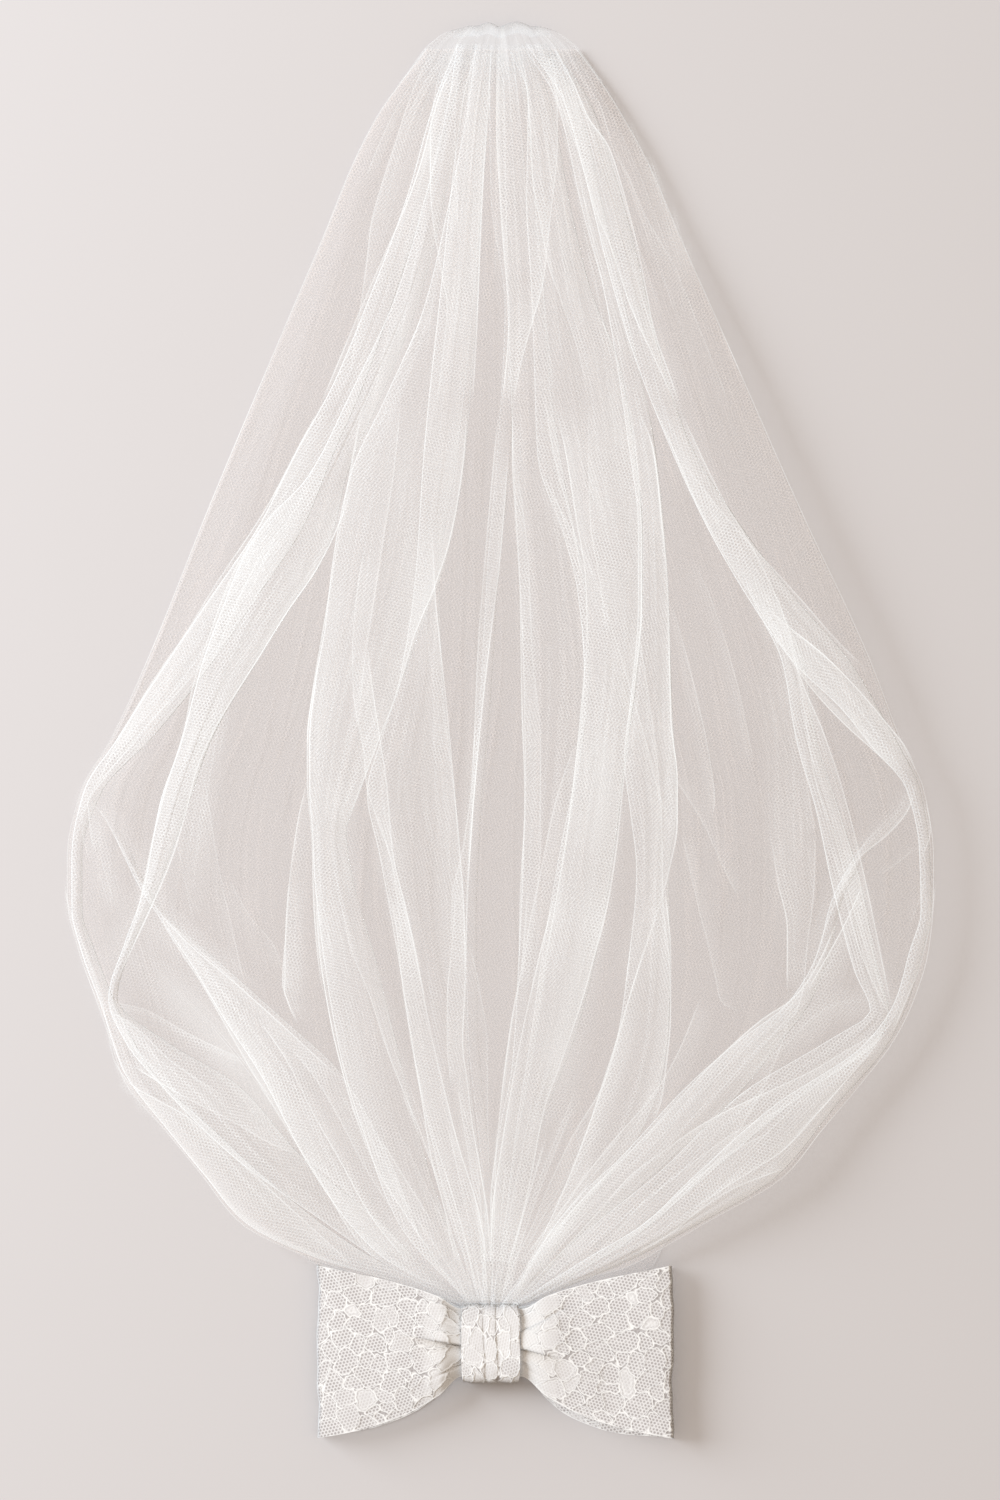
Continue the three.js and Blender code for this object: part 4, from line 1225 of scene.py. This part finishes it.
def lace_material():
    material, tree, shader = new_material("corded_lace")
    border = attribute(tree, "border")
    tone = attribute(tree, "tone")
    net = net_node(tree, map_in_mm(tree), LACE_NET_PITCH)
    solid = ramp_node(tree, tone, SOLID_FROM, 1.0)
    outline = line_node(tree, border, 0.0, 0.12, 0.44, 1.0)
    ring = math_node(tree, "MULTIPLY", line_node(tree, border, RING_INSIDE, 0.1, 0.45, 0.6), solid)
    seen_through = line_node(tree, attribute(tree, "behind"), 0.0, 0.1, 0.42, 0.3)
    under = math_node(tree, "MULTIPLY", seen_through, math_node(tree, "SUBTRACT", 1.0, solid))
    drawn_close = ramp_node(tree, tone, 1.0, 2.0, 0.0, 0.55)
    lines = math_node(tree, "MAXIMUM", math_node(tree, "MAXIMUM", outline, ring), under)
    cord = math_node(tree, "MAXIMUM", lines, drawn_close)
    woven = math_node(tree, "MULTIPLY_ADD", net, 0.8, 0.08)
    filled = math_node(tree, "MAXIMUM", woven, math_node(tree, "MULTIPLY", solid, SOLID_FILL))
    open_gap = ramp_node(tree, border, -0.6, -0.2, 0.25, 1.0)
    ground = mix_node(tree, math_node(tree, "MULTIPLY", filled, open_gap), LACE_HOLE, LACE_THREAD)
    whole = mix_node(tree, cord, ground, LACE_CORD)
    # Painted shade: the colour is darkened towards a beige brown in the pleats beside the knot, where
    # little light reaches down.
    painted_shade_weight = math_node(tree, "MULTIPLY", attribute(tree, "painted_shade"), PAINTED_SHADE_STRENGTH)
    tree.links.new(mix_node(tree, painted_shade_weight, whole, LACE_PAINTED_SHADE), shader.inputs["Base Color"])
    # Lace is more holes than thread, so light goes on through it.
    path = tree.nodes.new("ShaderNodeLightPath")
    passing = math_node(tree, "MAXIMUM", path.outputs["Is Shadow Ray"], path.outputs["Is Diffuse Ray"])
    change = math_node(tree, "SUBTRACT", attribute(tree, "shade"), 1.0)
    tree.links.new(math_node(tree, "MULTIPLY_ADD", passing, change, 1.0), shader.inputs["Alpha"])
    shader.inputs["Roughness"].default_value = 0.75
    shader.inputs["Specular IOR Level"].default_value = 0.2
    height = math_node(tree, "MAXIMUM", math_node(tree, "MULTIPLY", net, 0.4), outline)
    bump = tree.nodes.new("ShaderNodeBump")
    bump.inputs["Strength"].default_value = 0.35
    bump.inputs["Distance"].default_value = 0.0003
    tree.links.new(height, bump.inputs["Height"])
    tree.links.new(levelled_normal(tree, LACE_FLATNESS), bump.inputs["Normal"])
    tree.links.new(bump.outputs[0], shader.inputs["Normal"])
    return material


lace = lace_material()
print("Material:", lace.name)

# %% [markdown]
# ## The bow
#
# Each loop goes out along its front, turns round at its straight outer end and comes back underneath.
# The back hangs a little lower than the front, so its edge shows below.
# At the knot the front is pinched into a valley that opens outwards.


# %% Bow loops
KNOT_HALF_WIDTH = 19.0
LOOP_REACH = 112.0  # where the table of the loop ends
LOOP_BACK_Z = 0.5
LOOP_END_HEIGHT = 14.0
LOOP_END_ROUND = 2.0
LOOP_FLATTENS = 0.62  # share of the reach at which a loop begins to flatten
LOOP_DROOP = 4.0
LOOP_ROWS = (200, 12, 60)  # along its front, round its end and along its back
LOOP_COLUMNS = 190
LOOP_WAVE = 0.5
LOOP_END_WAVE = 0.9
LOOP_SHADE = 0.45
LOBE_RISE = 4.5
LOBE_FROM = 30.0
LOBE_LENGTH = 16.0
# Depth of pleat at which its painted shade is at full strength.
PAINTED_SHADE_FULL_DEPTH = 3.5
loop_top = column(LOOP, 1)
loop_bottom = column(LOOP, 2)
loop_height = column(LOOP, 3)


def pinched(z, r, y, pleats):
    """The front of a loop with its pleats pressed in, and the painted shade that darkens the colour in
    them.
    """
    painted_shade = np.zeros_like(y)
    for place, slope, depth, above, below, end in pleats:
        fade = 1 - smoothstep(KNOT_HALF_WIDTH + 4, end, r)
        from_pleat = place + slope * (r - KNOT_HALF_WIDTH) - y
        wide = 1 + 0.035 * np.maximum(r - KNOT_HALF_WIDTH, 0)
        dip_below = np.exp(-from_pleat / (below * wide))
        dip_above = np.exp(from_pleat / (above * wide))
        dip = np.where(from_pleat > 0, dip_below, dip_above)
        z = z - depth * fade * dip
        # Painted shade: below a deep pleat's line the colour is darkened, fading with distance from it.
        painted_shade_weight = min(depth / PAINTED_SHADE_FULL_DEPTH, 1) ** 3
        painted_shade = np.maximum(painted_shade, fade * dip * painted_shade_weight * (from_pleat > 0))
    return z, painted_shade


def raise_cord(points, numbers, sign):
    """Moves the points of a loop out along its normals, by the height of the cord."""
    along = np.gradient(points, axis=0)
    over = np.gradient(points, axis=1)
    normal = np.cross(along, over) * sign
    normal /= np.linalg.norm(normal, axis=-1)[..., None]
    return points + normal * cord_height(numbers)[..., None]


def run_length(across, height):
    """Length along a section of the cloth, from its first point, as a column."""
    run = np.hypot(np.diff(across), np.diff(height))
    return np.concatenate([[0], np.cumsum(run)])[:, None]


def bow_loop(side, node, reach_end, back_drop, pleats, seed):
    """One loop as a single grid: its front, the turn at its end and its back."""
    sign = -1 if side == "left" else 1
    radius = (LOOP_END_HEIGHT - LOOP_BACK_Z) / 2
    turn = reach_end - LOOP_END_ROUND
    front = np.linspace(1, turn, LOOP_ROWS[0])
    around = np.linspace(math.pi / 2, -math.pi / 2, LOOP_ROWS[1])[1:-1]
    behind = np.linspace(turn, 1, LOOP_ROWS[2])
    share = np.linspace(0, 1, LOOP_COLUMNS)[None, :]
    across = 2 * share - 1

    def edges(reach, back):
        """Places across the loop, from its lower edge to its upper one; the back hangs lower."""
        clear = smoothstep(KNOT_HALF_WIDTH, 50, reach) * (1 - 0.6 * smoothstep(70, reach_end, reach))
        stretch = np.minimum(reach * LOOP_REACH / reach_end, LOOP_REACH)
        low = loop_bottom(stretch)
        high = loop_top(stretch) + 1.8 * np.exp(-np.maximum(reach - KNOT_HALF_WIDTH, 0) / 40)
        return low + (high - low) * share - back_drop * back * clear

    r = front[:, None]
    y_front = edges(r, 0)
    settle = smoothstep(0, turn / 2, turn - r)
    flatter = (LOOP[-1][3] - LOOP_END_HEIGHT) * smoothstep(LOOP_FLATTENS, 1, r / turn)
    z_front = loop_height(r / turn * LOOP_REACH) - flatter - LOOP_DROOP * settle * across**2
    lobe = LOBE_RISE * np.exp(-((np.maximum(r - LOBE_FROM, 0) / LOBE_LENGTH) ** 2))
    z_front = z_front + lobe * (1 - 0.4 * across**2)
    z_front, painted_shade = pinched(z_front, r, y_front, pleats)
    z_front = z_front + LOOP_WAVE * wander(r + 0.6 * y_front, seed, 3, 90) * settle
    z_front = np.where(r < KNOT_HALF_WIDTH, np.clip(z_front, 3.6, 16.5), np.maximum(z_front, 3.2))
    a = around[:, None]
    r_around = turn + LOOP_END_ROUND * np.cos(a) + 0 * share
    z_around = LOOP_BACK_Z + radius * (1 + np.sin(a)) + 0 * share
    y_around = edges(r_around, 0.5 - 0.5 * np.sin(a))
    b = behind[:, None]
    y_behind = edges(b, 1.0)
    reach = np.concatenate([r + 0 * share, r_around, b + 0 * share])
    y = np.concatenate([y_front, y_around, y_behind])
    end_wave = LOOP_END_WAVE * wander(y, seed + 2, 4, 75) * smoothstep(0.7, 1, reach / reach_end)
    z = np.concatenate([z_front, z_around, LOOP_BACK_Z + 0 * y_behind])
    middle = LOOP_COLUMNS // 2
    length = run_length(reach[:, middle], z[:, middle]) + 0 * share
    drawn_up = 1 + 0.4 * np.exp(-np.maximum(reach - KNOT_HALF_WIDTH, 0) / 22)
    numbers = lace_numbers(length, y * drawn_up, LOOP_SHADE, seed)
    # Lace that is drawn up at the knot lies closer and looks more solid.
    closer = np.exp(-np.maximum(reach - KNOT_HALF_WIDTH - 8, 0) / 20)
    numbers["shade"] = LOOP_SHADE + (1 - LOOP_SHADE) * closer
    # Painted shade on the front only, in its pinched pleats.
    numbers["painted_shade"] = np.concatenate([painted_shade, 0 * y_around, 0 * y_behind])
    numbers["tone"] = np.maximum(numbers["tone"], 2 * closer)
    # A cord runs along both edges and round the outer end.
    edge = np.minimum(share, 1 - share) * (y.max(axis=1) - y.min(axis=1))[:, None]
    hem = smoothstep(0.3, 1.0, edge) * smoothstep(0.3, 1.2, np.abs(reach_end - reach))
    numbers["border"] = numbers["border"] * hem
    points = np.stack([BOW_X + sign * (reach + end_wave), BOW_Y + y, z], -1)
    points = raise_cord(points, numbers, sign)
    faces = grid_faces(*points.shape[:2])
    if sign > 0:
        faces = faces[:, ::-1]
    uv = np.stack([length, y * drawn_up], -1)
    piece = mesh_piece(f"lace_{node}", points, faces, uv, numbers, lace)
    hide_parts(node)
    return piece


# A pleat has its place and slope at the knot, its depth, its width above and below, and where it ends.
LEFT_PLEATS = [
    (-1.0, 0.2, 3.6, 0.7, 2.8, 66), (10.0, 0.42, 0.7, 0.6, 4.0, 50), (-13.0, -0.45, 0.8, 2.0, 0.6, 48),
]
RIGHT_PLEATS = [
    (-3.0, -0.22, 3.2, 0.7, 3.4, 58), (8.5, 0.52, 1.5, 2.6, 0.5, 92), (-13.0, -0.6, 0.8, 2.0, 0.6, 50),
]
bow_loop("left", "bow_loop_left", reach_end=112.0, back_drop=3.5, pleats=LEFT_PLEATS, seed=6)
bow_loop("right", "bow_loop_right", reach_end=118.0, back_drop=7.0, pleats=RIGHT_PLEATS, seed=9)

# %% [markdown]
# ## The knot
#
# A band of the same lace is wound round the middle in three pleats.
# It is flat underneath, where it lies on the surface.


# %% Bow knot
KNOT_PLEATS = [0, 0.38, 0.6, 1]
KNOT_SHADE = 1.0
KNOT_HALF_HEIGHT = 24.9
KNOT_WAIST_Z = 8.0
KNOT_RISE = 10.6
KNOT_UNDER_Z = 0.3
KNOT_UNDER_ROWS = 30
KNOT_DRAWN_UP = 1.35
KNOT_SEED = 14


def squared(value):
    """A sine or cosine made squarer, so that a ring becomes a rounded band."""
    return np.sign(value) * np.abs(value) ** 0.65


def bow_knot():
    """The band as one grid: over the top of the bow, then back underneath it."""
    steps = np.linspace(0, math.pi, 120)
    share = np.linspace(0, 1, 100)[None, :]
    over_y = KNOT_HALF_HEIGHT * squared(np.cos(steps))
    over_z = KNOT_WAIST_Z + KNOT_RISE * squared(np.sin(steps))
    under_y = np.linspace(-KNOT_HALF_HEIGHT, KNOT_HALF_HEIGHT, KNOT_UNDER_ROWS)
    under_z = np.full(KNOT_UNDER_ROWS, KNOT_UNDER_Z)
    still = np.zeros(KNOT_UNDER_ROWS)
    y = np.concatenate([over_y, under_y])[:, None]
    z = np.concatenate([over_z, under_z])[:, None]
    out_y = np.concatenate([np.cos(steps), still])[:, None]
    out_z = np.concatenate([np.sin(steps), still])[:, None]
    leaning = np.clip(share + 0.02 * np.sin(y * 0.1), 0, 1)
    phase = np.interp(leaning, KNOT_PLEATS, [0, 0.999, 1.999, 3]) % 1
    hump = 0.7 * np.abs(np.sin(np.pi * phase)) ** 0.8 - 0.2 + 0.4 * phase
    x = BOW_X + KNOT_HALF_WIDTH * (2 * share - 1) * (1 - 0.07 * np.abs(y / 25) ** 5)
    length = run_length(y[:, 0], z[:, 0]) + 0 * share
    numbers = lace_numbers(length, (x - BOW_X) * KNOT_DRAWN_UP + 0 * y, KNOT_SHADE, KNOT_SEED)
    # The knot is drawn up all over, so most of its lace looks solid.
    numbers["tone"] = 0.85 + 0.65 * numbers["tone"]
    # The knot has no painted shade.
    numbers["painted_shade"] = 0 * numbers["tone"]
    out = hump + cord_height(numbers)
    points = np.stack(np.broadcast_arrays(x, BOW_Y + y + out_y * out, z + out_z * out), -1)
    faces = grid_faces(*points.shape[:2])
    uv = np.stack(np.broadcast_arrays(length, (x - BOW_X) * 1.2), -1)
    piece = mesh_piece("lace_bow_knot", points, faces, uv, numbers, lace)
    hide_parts("bow_knot")
    return piece


bow_knot()

# %% [markdown]
# ## Surface, light and camera
#
# A pale plain surface, one broad soft light from the upper left and a camera straight above.

# %% Surface
FLOOR_COLOUR = (0.667, 0.641, 0.647)


def floor():
    mesh = bpy.data.meshes.new("floor")
    mesh.from_pydata([(-6, -6, 0), (6, -6, 0), (6, 6, 0), (-6, 6, 0)], [], [(0, 1, 2, 3)])
    plane = bpy.data.objects.new("floor", mesh)
    plane.location.z = -0.0004
    bpy.context.scene.collection.objects.link(plane)
    material, tree, shader = new_material("plain_paper")
    shader.inputs["Base Color"].default_value = (*FLOOR_COLOUR, 1)
    shader.inputs["Roughness"].default_value = 0.9
    shader.inputs["Specular IOR Level"].default_value = 0.1
    mesh.materials.append(material)
    return plane


floor()
print("The surface is set")


# %% Light
KEY_PLACE = (-4.15, 1.35, 1.6)
KEY_SIZE = 3.2
KEY_POWER = 424.0
KEY_COLOUR = (0.854, 0.931, 1.0)
ROOM_COLOUR = (1.0, 0.86, 0.72)
ROOM_STRENGTH = 0.58


def soft_light(name, place, size, energy, colour):
    data = bpy.data.lights.new(name, "AREA")
    data.shape = "DISK"
    data.size = size
    data.energy = energy
    data.color = colour
    light = bpy.data.objects.new(name, data)
    light.location = place
    light.rotation_euler = (-Vector(place)).to_track_quat("-Z", "Y").to_euler()
    bpy.context.scene.collection.objects.link(light)
    return light


soft_light("key", KEY_PLACE, KEY_SIZE, KEY_POWER, KEY_COLOUR)
world = bpy.data.worlds.new("studio")
bpy.context.scene.world = world
world.use_nodes = True
background = world.node_tree.nodes["Background"]
background.inputs["Color"].default_value = (*ROOM_COLOUR, 1)
background.inputs["Strength"].default_value = ROOM_STRENGTH
print("The key light and the light of the room are set")

# %% Camera
CAMERA_PLACE = (0, -0.0104, 2.6)
HALF_FRAME = 0.4875  # half the height of the frame on the surface, in metres
camera_data = bpy.data.cameras.new("camera")
camera = bpy.data.objects.new("camera", camera_data)
camera.location = CAMERA_PLACE
camera_data.sensor_fit = "VERTICAL"
camera_data.angle = 2 * math.atan(HALF_FRAME / CAMERA_PLACE[2])
bpy.context.scene.collection.objects.link(camera)
bpy.context.scene.camera = camera

view = bpy.context.scene.view_settings
view.view_transform = "Standard"
view.look = "None"
bpy.context.scene.cycles.transparent_max_bounces = 48
bpy.context.scene.cycles.max_bounces = 4
bpy.context.scene.cycles.diffuse_bounces = 1
print("The camera looks straight down from", CAMERA_PLACE[2], "m")
